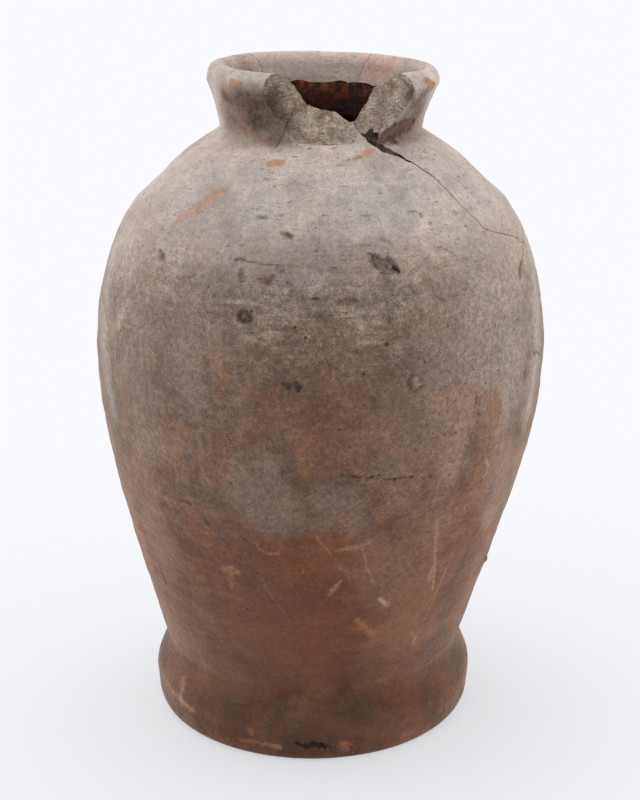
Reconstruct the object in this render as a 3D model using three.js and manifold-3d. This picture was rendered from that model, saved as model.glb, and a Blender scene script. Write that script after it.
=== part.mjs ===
// A tall clay jar for sugar syrup: thrown, glazed inside, and broken at the neck.
// One piece of the neck is lost. Three others are set back in place with fine joints.
// Sizes are in millimetres and +Z is up. The origin is on the ground under the axis of
// the belly, and the lost piece of the neck faces -Y.
import * as THREE from 'three';
import { mergeVertices } from 'three/addons/utils/BufferGeometryUtils.js';
import Module from 'manifold-3d';

const wasm = await Module();
wasm.setup();

// Heights of the five zones, from the ground up
const footHeight = 40;
const wallHeight = 171;
const upperBellyHeight = 78.5;
const shoulderHeight = 37.5;
const neckHeight = 33;
const flangeHeight = 18;

// Radii of the outside
const restRadius = 85;
const flangeRadius = 90.2;
const waistRadius = 83.6;
const bellyRadius = 121.4;
const shoulderRadius = 98.8;
const neckRadius = 53;
const rimRadius = 60.5;

// The clay's thickness in the wall, at the foot of the neck and in the floor
const wallThickness = 9;
const throatThickness = 8.5;
const floorThickness = 14;
const floorFlatRadius = 46;
const lipRadius = 5.3;
const lipHeight = 8;

// The glaze inside: its coat, the depth of bare clay under the rim, and the drips of its edge
const glazeThickness = 0.6;
const glazeEdgeDepth = 16;
const dripDepth = 1.6;
const dripsAround = 13;
const longDripsAround = 4;

// What is left between two pieces that touch, and how wide the worn crack is at its mouth
const jointGap = 0.3;
const crackMouth = 3.4;

// How far the jar leans and dips: it was leather-hard when it was moved to the kiln
const footLean = 4.5;
const rimLean = 1.3;
const rimDip = 1.2;

// How far a cut runs past the clay on each side, and the chord that gives a wall's direction
const cutOutside = 3;
const cutInside = 12;
const chordLength = 16;

// Steps around the jar and along each stretch of its outline
const stepsAround = 48;
const footSteps = 3;
const wallSteps = 5;
const bellySteps = 4;
const shoulderSteps = 3;
const neckSteps = 2;
const lipSteps = 4;
const throatSteps = 2;
const cornerSteps = 2;

// Handles of each stretch of the outline, as shares [radius, height] of the way along it
const flangeShares = [[0.75, 0.04], [1, 0.42]];
const footShares = [[0, 0.4], [1, 0.66]];
const wallShares = [[0.844, 0.621], [1, 0.789]];
const upperBellyShares = [[0, 0.03], [0, 0.628]];
const shoulderShares = [[0.64, 0.7], [0.38, 0.52]];
const neckShares = [[0.1, 0.4], [0.78, 0.87]];
const floorCornerShares = [[0.6, 0], [0.93, 0.45]];
const innerShoulderEndShare = 0.85;

// Corners of the outline, as [radius, height]
const waistLevel = footHeight;
const bellyLevel = waistLevel + wallHeight;
const shoulderLevel = bellyLevel + upperBellyHeight;
const neckLevel = shoulderLevel + shoulderHeight;
const rimLevel = neckLevel + neckHeight;
const zoneLevels = [0, waistLevel, bellyLevel, shoulderLevel, neckLevel, rimLevel];
const rest = new THREE.Vector2(restRadius, 0);
const flange = new THREE.Vector2(flangeRadius, flangeHeight);
const waist = new THREE.Vector2(waistRadius, waistLevel);
const belly = new THREE.Vector2(bellyRadius, bellyLevel);
const shoulder = new THREE.Vector2(shoulderRadius, shoulderLevel);
const neckFoot = new THREE.Vector2(neckRadius, neckLevel);
const lipCentre = new THREE.Vector2(rimRadius - lipRadius, rimLevel - lipHeight);
const outerLip = new THREE.Vector2(rimRadius, lipCentre.y);
const innerLip = new THREE.Vector2(lipCentre.x - lipRadius, lipCentre.y);
const throat = new THREE.Vector2(neckRadius - throatThickness, neckLevel);
const glazeEdgeLevel = rimLevel - glazeEdgeDepth;

// The joints and cracks, as [azimuth in degrees, height, openness]. The height counts zones
// from the ground: 4.5 is halfway up the neck. An azimuth of 0 is -Y and 90 is +X.
const rightJointShares = [
  [16, 4.45, 0],
  [20.5, 4.22, 0.08],
  [23.5, 4.06, 0.15],
  [25.5, 4.0, 0.45],
  [28.3, 3.92, 0.9],
  [33.9, 3.87, 1],
  [39.6, 3.83, 0.5],
  [43, 3.76, 0.15],
  [46.5, 3.62, 0.03],
  [48.2, 3.36, 0],
  [50.5, 3.06, 0],
  [53.5, 2.945, 0],
  [60, 2.9, 0],
  [70, 2.81, 0],
  [79.4, 2.69, 0],
  [90, 2.62, 0],
  [101, 2.68, 0],
  [112, 2.83, 0],
  [123, 2.95, 0],
  [133, 3.24, 0],
  [143, 3.55, 0],
  [153, 3.9, 0],
  [157, 4.3, 0],
  [155, 4.6, 0],
  [151, 4.85, 0],
  [149, 5.4, 0],
];
const leftJointShares = [
  [-6, 4.7, 0],
  [-13, 4.5, 0],
  [-18, 4.27, 0],
  [-21.5, 4.08, 0],
  [-23.8, 3.93, 0],
  [-30, 3.86, 0],
  [-45, 3.89, 0],
  [-62, 3.85, 0],
  [-84, 3.9, 0],
  [-106, 3.84, 0],
  [-126, 3.9, 0],
  [-140, 3.86, 0],
  [-160, 3.9, 0],
  [-180, 3.84, 0],
  [-197, 3.89, 0],
  [-212, 3.86, 0],
];
const backJointShares = [
  [-141, 3.78, 0],
  [-139, 4.1, 0],
  [-141, 4.4, 0],
  [-137, 4.7, 0],
  [-132, 4.92, 0],
  [-130, 5.4, 0],
];

// The edge of the lost piece: [azimuth, height] on the outside, then the same on the inside
const lostPieceShares = [
  [-30, 5.6, -25, 5.6],
  [-28.9, 4.94, -24, 4.98],
  [-28.8, 4.67, -19.6, 4.85],
  [-27.7, 4.52, -14.7, 4.67],
  [-22.9, 4.38, -10.5, 4.51],
  [-17.4, 4.12, -5.1, 4.42],
  [-11.1, 4.01, 0.8, 4.38],
  [-0.4, 4.0, 7.3, 4.39],
  [8.7, 4.0, 11.5, 4.33],
  [17, 4.0, 18.7, 4.24],
  [23.2, 4.04, 23.4, 4.3],
  [28, 4.14, 25.3, 4.45],
  [35, 4.21, 30.7, 4.6],
  [43.4, 4.34, 35, 4.74],
  [50.7, 4.64, 42, 4.86],
  [48.3, 4.85, 49, 4.92],
  [48, 5.6, 49.5, 5.6],
];
const lostPieceInwardShare = 0.5;
const lostPieceApexShares = [10, 2.6, 4.9];

// The curve between two corners of the outline
function stretch(start, end, [firstShares, lastShares]) {
  const [first, last] = [firstShares, lastShares].map(([radiusShare, heightShare]) => new THREE.Vector2(
    THREE.MathUtils.lerp(start.x, end.x, radiusShare),
    THREE.MathUtils.lerp(start.y, end.y, heightShare),
  ));
  return new THREE.CubicBezierCurve(start, first, last, end);
}

const flangeCurve = stretch(rest, flange, flangeShares);
const footCurve = stretch(flange, waist, footShares);
const wallCurve = stretch(waist, belly, wallShares);
const upperBellyCurve = stretch(belly, shoulder, upperBellyShares);
const shoulderCurve = stretch(shoulder, neckFoot, shoulderShares);
const neckCurve = stretch(neckFoot, outerLip, neckShares);
const lipArc = new THREE.EllipseCurve(lipCentre.x, lipCentre.y, lipRadius, lipHeight, 0, Math.PI);

// Points of a curve without its start, which the curve before it already gave
function follow(curve, steps) {
  return curve.getPoints(steps).slice(1);
}

// The point a given depth under the outside, square to the wall
function under(curve, share, depth) {
  const along = curve.getTangent(share);
  return curve.getPoint(share).add(new THREE.Vector2(-along.y, along.x).multiplyScalar(depth));
}

function followUnder(curve, steps, lastShare) {
  const points = [];
  for (let step = 1; step <= steps; step += 1) {
    points.push(under(curve, (lastShare * step) / steps, wallThickness));
  }
  return points;
}

// The outside, from the edge of the base up to the side of the lip
const outside = [
  rest,
  ...follow(flangeCurve, footSteps),
  ...follow(footCurve, footSteps),
  ...follow(wallCurve, wallSteps),
  ...follow(upperBellyCurve, bellySteps),
  ...follow(shoulderCurve, shoulderSteps),
  ...follow(neckCurve, neckSteps),
];

// The inside, from the middle of the floor up to the foot of the neck
const floorEdge = new THREE.Vector2(floorFlatRadius, floorThickness);
const innerWaist = under(wallCurve, 0, wallThickness);
const innerShoulderEnd = under(shoulderCurve, innerShoulderEndShare, wallThickness);
const shoulderRun = shoulderCurve.getTangent(innerShoulderEndShare);
const throatBend = new THREE.Vector2(
  throat.x,
  innerShoulderEnd.y + ((throat.x - innerShoulderEnd.x) / shoulderRun.x) * shoulderRun.y,
);
const throatCurve = new THREE.QuadraticBezierCurve(innerShoulderEnd, throatBend, throat);
const inside = [
  new THREE.Vector2(0, floorThickness),
  floorEdge,
  ...follow(stretch(floorEdge, innerWaist, floorCornerShares), cornerSteps),
  ...followUnder(wallCurve, wallSteps, 1),
  ...followUnder(upperBellyCurve, bellySteps, 1),
  ...followUnder(shoulderCurve, shoulderSteps, innerShoulderEndShare),
  ...follow(throatCurve, throatSteps),
];

function heightOf(zones) {
  const zone = Math.min(Math.floor(zones), zoneLevels.length - 2);
  return THREE.MathUtils.lerp(zoneLevels[zone], zoneLevels[zone + 1], zones - zone);
}

// The outside's radius at a height. Above the neck its line runs on, past the round lip.
function radiusAt(height) {
  const top = outside.findIndex((point) => point.y > height);
  const upper = outside[top < 1 ? outside.length - 1 : top];
  const lower = outside[top < 1 ? outside.length - 2 : top - 1];
  return THREE.MathUtils.mapLinear(height, lower.y, upper.y, lower.x, upper.x);
}

function neckInsideAt(height) {
  return THREE.MathUtils.mapLinear(height, throat.y, innerLip.y, throat.x, innerLip.x);
}

// A place in space from its azimuth in degrees, its radius and its height
function place(azimuth, radius, height) {
  const turn = THREE.MathUtils.degToRad(azimuth);
  return new THREE.Vector3(radius * Math.sin(turn), -radius * Math.cos(turn), height);
}

// A solid of a closed mesh, given as a flat list of places and a flat list of corners
function solidOf(vertices, corners) {
  return new wasm.Manifold(new wasm.Mesh({
    numProp: 3,
    vertProperties: new Float32Array(vertices),
    triVerts: new Uint32Array(corners),
  }));
}

// A solid turned from a profile that runs from the axis, round the clay and back to the axis
function turned(profile) {
  const lathe = new THREE.LatheGeometry(profile, stepsAround).rotateX(Math.PI / 2);
  lathe.deleteAttribute('normal');
  lathe.deleteAttribute('uv');
  const merged = mergeVertices(lathe);
  const index = Array.from(merged.index.array);
  const corners = [];
  for (let i = 0; i < index.length; i += 3) {
    const [a, b, c] = index.slice(i, i + 3);
    if (a !== b && b !== c && c !== a) {
      corners.push(a, b, c);
    }
  }
  return solidOf(merged.attributes.position.array, corners);
}

// The faces of a band of rings, each with the same number of places and open at its two ends.
// From the given side on, the faces are split along their other diagonal.
function bandCorners(ringCount, ringSize, mirroredFrom) {
  const corners = [];
  for (let ring = 0; ring + 1 < ringCount; ring += 1) {
    for (let side = 0; side < ringSize; side += 1) {
      const a = ring * ringSize + side;
      const b = ring * ringSize + ((side + 1) % ringSize);
      const [c, d] = [b + ringSize, a + ringSize];
      corners.push(...(side < mirroredFrom ? [a, c, b, a, d, c] : [a, d, b, b, d, c]));
    }
  }
  return corners;
}

// The thin cut of a crack, which goes through the wall square to it
function crackCut(shares) {
  const stations = shares.map(([azimuth, zones, openShare]) => {
    const height = heightOf(zones);
    const [low, high] = [height - chordLength / 2, height + chordLength / 2];
    const across = new THREE.Vector2(high - low, radiusAt(low) - radiusAt(high)).normalize();
    const radius = radiusAt(height);
    const reach = (depth) => place(azimuth, radius + across.x * depth, height + across.y * depth);
    return {
      outer: reach(cutOutside),
      inner: reach(-wallThickness - cutInside),
      width: jointGap + (crackMouth - jointGap) * openShare,
    };
  });
  const vertices = [];
  stations.forEach(({ outer, inner, width }, i) => {
    const before = stations[Math.max(i - 1, 0)].outer;
    const after = stations[Math.min(i + 1, stations.length - 1)].outer;
    const side = after.clone().sub(before).cross(outer.clone().sub(inner)).normalize();
    const outerSide = side.clone().multiplyScalar(width / 2);
    const innerSide = side.clone().multiplyScalar(jointGap / 2);
    vertices.push(...outer.clone().add(outerSide), ...outer.clone().sub(outerSide));
    vertices.push(...inner.clone().sub(innerSide), ...inner.clone().add(innerSide));
  });
  const last = (stations.length - 1) * 4;
  const ends = [0, 1, 2, 0, 2, 3, last, last + 2, last + 1, last, last + 3, last + 2];
  return solidOf(vertices, [...bandCorners(stations.length, 4, 2), ...ends]);
}

// The space of the lost piece, with a broken edge that slopes down towards the outside
function lostPiece() {
  const farRing = [];
  const outerRing = [];
  const innerRing = [];
  lostPieceShares.forEach(([outerAzimuth, outerZones, innerAzimuth, innerZones]) => {
    const [outerHeight, innerHeight] = [heightOf(outerZones), heightOf(innerZones)];
    const outsideRadius = radiusAt(outerHeight);
    const outer = place(outerAzimuth, outsideRadius, outerHeight);
    const inner = place(innerAzimuth, neckInsideAt(innerHeight), innerHeight);
    farRing.push(place(outerAzimuth, outsideRadius + rimRadius, outerHeight));
    outerRing.push(outer);
    innerRing.push(outer.clone().lerp(inner, 1 + lostPieceInwardShare));
  });
  const [apexAzimuth, apexRadiusShare, apexZones] = lostPieceApexShares;
  const apexHeight = heightOf(apexZones);
  const apex = place(apexAzimuth, rimRadius * apexRadiusShare, apexHeight);
  const core = place(apexAzimuth, 0, apexHeight);
  const count = outerRing.length;
  const corners = bandCorners(3, count, count);
  for (let i = 0; i < count; i += 1) {
    const next = (i + 1) % count;
    corners.push(3 * count, i, next);
    corners.push(3 * count + 1, 2 * count + next, 2 * count + i);
  }
  const places = [...farRing, ...outerRing, ...innerRing, apex, core];
  return solidOf(places.flatMap((spot) => [...spot]), corners);
}

// The clay of the whole jar, before it broke
function wholeClay() {
  const lip = follow(lipArc, lipSteps);
  return turned([new THREE.Vector2(0, 0), ...outside, ...lip, ...[...inside].reverse()]);
}

// The glaze coat: a thin cup that follows the inside up to its dripping edge
function wholeGlaze() {
  const edge = new THREE.Vector2(neckInsideAt(glazeEdgeLevel), glazeEdgeLevel);
  const skin = [...inside, edge];
  const raised = (depth) => skin.map((point, i) => {
    const before = skin[Math.max(i - 1, 0)];
    const after = skin[Math.min(i + 1, skin.length - 1)];
    const run = after.clone().sub(before).normalize();
    const up = i === 0 ? new THREE.Vector2(0, 1) : new THREE.Vector2(-run.y, run.x);
    return up.multiplyScalar(depth).add(point);
  });
  return turned([...raised(jointGap), ...raised(jointGap + glazeThickness).reverse()]);
}

// The loose solids of a cut one, the largest first, then by azimuth from the left to the right
function separatePieces(solid) {
  const mesh = solid.getMesh();
  const stride = mesh.numProp;
  const owner = Array.from({ length: mesh.vertProperties.length / stride }, (_, i) => i);
  const find = (i) => {
    let root = i;
    while (owner[root] !== root) {
      root = owner[root];
    }
    owner[i] = root;
    return root;
  };
  const corners = Array.from(mesh.triVerts);
  for (let i = 0; i < corners.length; i += 3) {
    owner[find(corners[i])] = find(corners[i + 1]);
    owner[find(corners[i + 1])] = find(corners[i + 2]);
  }
  const groups = new Map();
  for (let i = 0; i < corners.length; i += 3) {
    const root = find(corners[i]);
    groups.set(root, [...(groups.get(root) ?? []), ...corners.slice(i, i + 3)]);
  }
  const found = [...groups.values()].map((group) => pieceOf(mesh, stride, group));
  found.sort((a, b) => b.size - a.size);
  const [largest, ...others] = found;
  return [largest, ...others.sort((a, b) => a.turn - b.turn)].map((piece) => piece.geometry);
}

// One loose solid, with its own size and the azimuth that it lies at
function pieceOf(mesh, stride, corners) {
  const renumbered = new Map();
  const positions = [];
  const index = corners.map((corner) => {
    if (!renumbered.has(corner)) {
      renumbered.set(corner, renumbered.size);
      positions.push(...mesh.vertProperties.slice(corner * stride, corner * stride + 3));
    }
    return renumbered.get(corner);
  });
  const geometry = new THREE.BufferGeometry();
  geometry.setAttribute('position', new THREE.Float32BufferAttribute(positions, 3));
  geometry.setIndex(index);
  geometry.computeBoundingBox();
  const middle = geometry.boundingBox.getCenter(new THREE.Vector3());
  const size = geometry.boundingBox.getSize(new THREE.Vector3()).length();
  const turn = THREE.MathUtils.euclideanModulo(Math.atan2(middle.x, -middle.y), 2 * Math.PI);
  return { geometry, size, turn };
}

// The glaze's edge stands higher and lower round the neck, along the cone of the inside
function drip(geometry) {
  const slope = (innerLip.x - throat.x) / (innerLip.y - throat.y);
  const position = geometry.attributes.position;
  for (let i = 0; i < position.count; i += 1) {
    const spot = new THREE.Vector3().fromBufferAttribute(position, i);
    if (spot.z > glazeEdgeLevel - glazeThickness) {
      const turn = Math.atan2(spot.x, -spot.y);
      const wave = Math.sin(turn * dripsAround) / 3 + Math.sin(turn * longDripsAround);
      const radius = Math.hypot(spot.x, spot.y);
      const rise = (dripDepth * wave) / 2;
      position.setXYZ(i, (spot.x * (radius + slope * rise)) / radius,
        (spot.y * (radius + slope * rise)) / radius, spot.z + rise);
    }
  }
}

// The jar's lean and dip: the foot stands a little to -X, and the rim leans and dips to +X
function settle(geometry) {
  const position = geometry.attributes.position;
  for (let i = 0; i < position.count; i += 1) {
    const spot = new THREE.Vector3().fromBufferAttribute(position, i);
    const lean = 1 - THREE.MathUtils.smoothstep(spot.z, waistLevel, bellyLevel);
    const neckLean = THREE.MathUtils.smoothstep(spot.z, neckLevel, rimLevel);
    const dip = THREE.MathUtils.smoothstep(spot.z, shoulderLevel, rimLevel) * (spot.x / rimRadius);
    const x = spot.x - footLean * lean + rimLean * neckLean;
    position.setXYZ(i, x, spot.y, spot.z - rimDip * dip);
  }
}

function named(name, geometry, colour, roughness) {
  settle(geometry);
  geometry.computeVertexNormals();
  const material = new THREE.MeshStandardMaterial({ color: colour, roughness, metalness: 0 });
  const mesh = new THREE.Mesh(geometry, material);
  mesh.name = name;
  return mesh;
}

const cracks = [rightJointShares, leftJointShares, backJointShares].map(crackCut);
const cutAll = (solid) => [lostPiece(), ...cracks].reduce((kept, cut) => kept.subtract(cut), solid);
const [bodyClay, rightClay, backClay, leftClay] = separatePieces(cutAll(wholeClay()));
const [bodyGlaze, rightGlaze, backGlaze, leftGlaze] = separatePieces(cutAll(wholeGlaze()));
[bodyGlaze, rightGlaze, backGlaze, leftGlaze].forEach(drip);

const jar = new THREE.Group();
jar.add(
  named('pot_body', bodyClay, '#86705f', 0.9),
  named('right_shoulder_sherd', rightClay, '#a3958b', 0.9),
  named('back_neck_sherd', backClay, '#a89a91', 0.9),
  named('left_neck_sherd', leftClay, '#a1948a', 0.9),
  named('body_glaze', bodyGlaze, '#3a160d', 0.25),
  named('right_sherd_glaze', rightGlaze, '#4a1f12', 0.25),
  named('back_sherd_glaze', backGlaze, '#4f2414', 0.25),
  named('left_sherd_glaze', leftGlaze, '#452012', 0.25),
);
export default jar;
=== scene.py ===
# The looks of a clay sugar jar with a broken neck: stained outside, glazed inside.
# Metres, +Z up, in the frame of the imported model.
import math

import bpy
import numpy as np
from mathutils import Euler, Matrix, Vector


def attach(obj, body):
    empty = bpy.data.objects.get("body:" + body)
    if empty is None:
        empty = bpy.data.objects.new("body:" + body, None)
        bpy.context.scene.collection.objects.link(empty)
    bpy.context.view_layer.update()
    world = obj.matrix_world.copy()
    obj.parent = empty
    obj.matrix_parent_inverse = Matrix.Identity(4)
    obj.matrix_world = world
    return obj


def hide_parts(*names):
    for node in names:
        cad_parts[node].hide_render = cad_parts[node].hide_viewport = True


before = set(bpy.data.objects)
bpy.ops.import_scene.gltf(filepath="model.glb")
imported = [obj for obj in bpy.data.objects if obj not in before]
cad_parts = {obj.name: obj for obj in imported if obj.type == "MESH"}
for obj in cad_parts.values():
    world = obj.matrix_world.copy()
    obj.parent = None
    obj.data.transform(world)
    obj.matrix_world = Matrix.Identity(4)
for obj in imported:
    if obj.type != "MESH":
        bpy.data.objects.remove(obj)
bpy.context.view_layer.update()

MM = 0.001

# The jar's heights and radii, as the solids have them
FOOT_HEIGHT = 40 * MM
WALL_HEIGHT = 171 * MM
UPPER_BELLY_HEIGHT = 78.5 * MM
SHOULDER_HEIGHT = 37.5 * MM
NECK_HEIGHT = 33 * MM
FLANGE_HEIGHT = 18 * MM
REST_RADIUS = 85 * MM
FLANGE_RADIUS = 90.2 * MM
WAIST_RADIUS = 83.6 * MM
BELLY_RADIUS = 121.4 * MM
SHOULDER_RADIUS = 98.8 * MM
NECK_RADIUS = 53 * MM
RIM_RADIUS = 60.5 * MM
WALL = 9 * MM
FLOOR_THICKNESS = 14 * MM
FLOOR_FLAT_RADIUS = 46 * MM
THROAT_THICKNESS = 8.5 * MM
LIP_RADIUS = 5.3 * MM
LIP_HEIGHT = 8 * MM
GLAZE = 0.6 * MM
GLAZE_GAP = 0.3 * MM
GLAZE_STEP = 2 * MM
GLAZE_TAPER = 7 * MM
GLAZE_RUN_HEIGHT = 0.25 * MM
GLAZE_RUN_SIZE = 9 * MM
GLAZE_EDGE_DEPTH = 16 * MM
FOOT_LEAN = 4.5 * MM
RIM_LEAN = 1.3 * MM
RIM_DIP = 1.2 * MM

WAIST = FOOT_HEIGHT
BELLY = WAIST + WALL_HEIGHT
SHOULDER = BELLY + UPPER_BELLY_HEIGHT
NECK = SHOULDER + SHOULDER_HEIGHT
RIM = NECK + NECK_HEIGHT
LIP_CENTRE = RIM - LIP_HEIGHT
INNER_LIP_RADIUS = RIM_RADIUS - 2 * LIP_RADIUS
THROAT_RADIUS = NECK_RADIUS - THROAT_THICKNESS
ZONES = [0, WAIST, BELLY, SHOULDER, NECK, RIM]

# The camera that took the photograph
CAMERA_PLACE = (-0.0004, -0.8407, 0.4558)
CAMERA_PITCH = 18.43
FOCAL_PIXELS = 1593.87
PHOTO_WIDTH = 640
PHOTO_HEIGHT = 800
SENSOR = 36
CAMERA_REACH = 50
# Where the camera's rays may meet the jar, in steps of 0.1 mm
SEEN_RUN = np.linspace(0.6, 1.15, 5501)

# Fineness of the meshes
FRONT_STEP = 0.4
BACK_STEP = 1.2
FRONT_HALF = 100
OUTSIDE_STEP = 0.85 * MM
INSIDE_STEP = 4 * MM
NECK_STEP = 1.2 * MM


def camera():
    data = bpy.data.cameras.new("camera")
    data.sensor_width = SENSOR
    data.lens = FOCAL_PIXELS * SENSOR / PHOTO_HEIGHT
    data.clip_end = CAMERA_REACH
    made = bpy.data.objects.new("camera", data)
    made.location = CAMERA_PLACE
    made.rotation_euler = (math.radians(90 - CAMERA_PITCH), 0, 0)
    bpy.context.collection.objects.link(made)
    bpy.context.scene.camera = made


def smooth(low, high, value):
    t = np.clip((value - low) / (high - low), 0, 1)
    return t * t * (3 - 2 * t)


# Steady noise

NOISE_TURN = np.array(Euler((0.6, 0.9, 0.4)).to_matrix())


def lattice(corner, seed):
    """A steady random number from -1 to 1 for each whole-number place."""
    n = corner[..., 0] * 73856093 ^ corner[..., 1] * 19349663 ^ corner[..., 2] * 83492791
    n = (n + seed * 1013904223) & 0xFFFFFFFF
    n = ((n ^ (n >> 16)) * 0x45D9F3B) & 0xFFFFFFFF
    n = ((n ^ (n >> 16)) * 0x45D9F3B) & 0xFFFFFFFF
    return ((n ^ (n >> 16)) & 0xFFFF) / 32767.5 - 1


def noise(places, size, seed, octaves=1):
    """Soft noise of about -1 to 1 at places in metres, with lumps of that size."""
    total = np.zeros(len(places))
    places = places @ NOISE_TURN
    for octave in range(octaves):
        p = places / size * 2**octave + 100.5
        base = np.floor(p).astype(np.int64)
        t = p - base
        t = t * t * t * (t * (t * 6 - 15) + 10)
        value = np.zeros(len(places))
        for corner in range(8):
            step = np.array([corner & 1, corner >> 1 & 1, corner >> 2 & 1])
            weight = np.prod(np.where(step == 1, t, 1 - t), axis=1)
            value += weight * lattice(base + step, seed + 31 * octave)
        total += value / 2**octave
    return total


# The outline


CURVE_STEPS = 40


def bezier(start, end, first, last):
    """A curve from start to end. Its two handles are places from one to the other, as shares."""
    start, end = np.array(start), np.array(end)
    way = end - start
    t = np.linspace(0, 1, CURVE_STEPS)[:, None]
    a, b = start + way * first, start + way * last
    return (1 - t) ** 3 * start + 3 * (1 - t) ** 2 * t * a + 3 * (1 - t) * t * t * b + t**3 * end


def half_ellipse(centre, radius, height):
    turn = np.linspace(0, math.pi, CURVE_STEPS)
    return np.array(centre) + np.stack([radius * np.cos(turn), height * np.sin(turn)], 1)


def unit(vectors):
    return vectors / np.linalg.norm(vectors, axis=1)[:, None]


def line_normals(line):
    """The directions that point to the line's right."""
    along = unit(np.gradient(line, axis=0))
    return np.stack([along[:, 1], -along[:, 0]], 1)


def beside(line, depth):
    """The line moved to its left by that depth."""
    return line - depth * line_normals(line)


def joined(*lines):
    """Lines joined end to end, without their doubled points."""
    line = np.concatenate(lines)
    keep = np.r_[True, np.linalg.norm(np.diff(line, axis=0), axis=1) > 1e-7]
    return line[keep]


def run_along(line):
    """How far along the line each of its points is."""
    return np.r_[0, np.cumsum(np.linalg.norm(np.diff(line, axis=0), axis=1))]


def points_at(at, run, line):
    return np.stack([np.interp(at, run, column) for column in line.T], 1)


def stepped(line, step):
    """The line with its points about a step apart."""
    run = run_along(line)
    return points_at(np.linspace(0, run[-1], max(2, round(run[-1] / step) + 1)), run, line)


WALL_LINE = bezier((WAIST_RADIUS, WAIST), (BELLY_RADIUS, BELLY), (0.844, 0.621), (1, 0.789))
UPPER_LINE = bezier((BELLY_RADIUS, BELLY), (SHOULDER_RADIUS, SHOULDER), (0, 0.03), (0, 0.628))
SHOULDER_LINE = bezier((SHOULDER_RADIUS, SHOULDER), (NECK_RADIUS, NECK), (0.64, 0.7), (0.38, 0.52))
OUTSIDE = joined(
    bezier((REST_RADIUS, 0), (FLANGE_RADIUS, FLANGE_HEIGHT), (0.75, 0.04), (1, 0.42)),
    bezier((FLANGE_RADIUS, FLANGE_HEIGHT), (WAIST_RADIUS, WAIST), (0, 0.4), (1, 0.66)),
    WALL_LINE,
    UPPER_LINE,
    SHOULDER_LINE,
    bezier((NECK_RADIUS, NECK), (RIM_RADIUS, LIP_CENTRE), (0.1, 0.4), (0.78, 0.87)),
)
LIP = half_ellipse((RIM_RADIUS - LIP_RADIUS, LIP_CENTRE), LIP_RADIUS, LIP_HEIGHT)
# The inside follows the shoulder up to this many of its points, and then turns up to the throat
INNER_SHOULDER_POINTS = 34
INNER_SHOULDER = beside(SHOULDER_LINE, WALL)[:INNER_SHOULDER_POINTS]
INNER_WAIST = beside(WALL_LINE, WALL)[0]
THROAT_FOOT = INNER_SHOULDER[-1]
INSIDE = joined(
    [(0, FLOOR_THICKNESS)],
    bezier((FLOOR_FLAT_RADIUS, FLOOR_THICKNESS), INNER_WAIST, (0.6, 0), (0.93, 0.45)),
    beside(WALL_LINE, WALL),
    beside(UPPER_LINE, WALL),
    INNER_SHOULDER,
    bezier(THROAT_FOOT, (THROAT_RADIUS, NECK), (0.6, 0.45), (1, 0.7)),
    [(INNER_LIP_RADIUS, LIP_CENTRE)],
)


def outside_radius(height):
    """The outside's radius at a height. Above the neck its line runs on, past the round lip."""
    over = np.maximum(height - LIP_CENTRE, 0) * (RIM_RADIUS - NECK_RADIUS) / (LIP_CENTRE - NECK)
    return np.interp(height, OUTSIDE[:, 1], OUTSIDE[:, 0]) + over


def neck_inside_radius(height):
    share = (height - NECK) / (LIP_CENTRE - NECK)
    return THROAT_RADIUS + (INNER_LIP_RADIUS - THROAT_RADIUS) * share


def height_of(zones):
    """Height counted in zones from the ground: 4.5 is halfway up the neck."""
    zones = np.asarray(zones, float)
    zone = np.minimum(np.floor(zones).astype(int), len(ZONES) - 2)
    low, high = np.array(ZONES)[zone], np.array(ZONES)[zone + 1]
    return low + (high - low) * (zones - zone)


def place(azimuth, radius, height):
    """Places from azimuths in degrees (0 is -Y, 90 is +X), radii and heights."""
    turn = np.radians(azimuth)
    parts = np.broadcast_arrays(radius * np.sin(turn), -radius * np.cos(turn), height)
    return np.stack(parts, -1).astype(float)


def settled(places):
    """The jar's lean and dip: the foot stands a little to -X, and the rim leans and dips to +X."""
    out = places.copy()
    dip = smooth(SHOULDER, RIM, places[:, 2]) * places[:, 0] / RIM_RADIUS
    out[:, 0] -= FOOT_LEAN * (1 - smooth(WAIST, BELLY, places[:, 2]))
    out[:, 0] += RIM_LEAN * smooth(NECK, RIM, places[:, 2])
    out[:, 2] -= RIM_DIP * dip
    return out


def straightened(places):
    """The places before the lean and the dip."""
    out = places.copy()
    for _ in range(3):
        out += places - settled(out)
    return out


# Places in the photograph


def seen_rays(pixels):
    pixels = np.atleast_2d(np.array(pixels, float))
    pitch = math.radians(CAMERA_PITCH)
    across = pixels[:, 0] - PHOTO_WIDTH / 2
    down = pixels[:, 1] - PHOTO_HEIGHT / 2
    forward = FOCAL_PIXELS * math.cos(pitch) - down * math.sin(pitch)
    up = -FOCAL_PIXELS * math.sin(pitch) - down * math.cos(pitch)
    return unit(np.stack([across, forward, up], 1))


def seen_place(pixels, inside=False):
    """Where the camera's rays through these pixels meet the jar, and the size of a pixel there."""
    found, sizes = [], []
    for ray in seen_rays(pixels):
        along = straightened(np.array(CAMERA_PLACE) + SEEN_RUN[:, None] * ray)
        radius = np.hypot(along[:, 0], along[:, 1])
        if inside:
            within = (radius < neck_inside_radius(along[:, 2])) & (along[:, 1] > 0)
            hit = np.flatnonzero(within)[-1]
        else:
            within = (radius < outside_radius(along[:, 2])) & (along[:, 2] < RIM)
            hit = np.flatnonzero(within)[0] if within.any() else np.argmin(radius)
        found.append(along[hit])
        sizes.append(SEEN_RUN[hit] / FOCAL_PIXELS)
    return np.array(found), float(np.mean(sizes))


# Marks: what happened to the surface, and some painted light and shade. Each is a stroke of pixels,
# or a place given by azimuth and height, with a width, a colour, and a depth.

MARKS = []
# The raised lip of a mark: how far out it is and how wide, as shares of the mark's radius
MARK_RING = 1.25
MARK_RING_WIDTH = 0.22
FULLY_SUNK = 0.6 * MM


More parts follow.
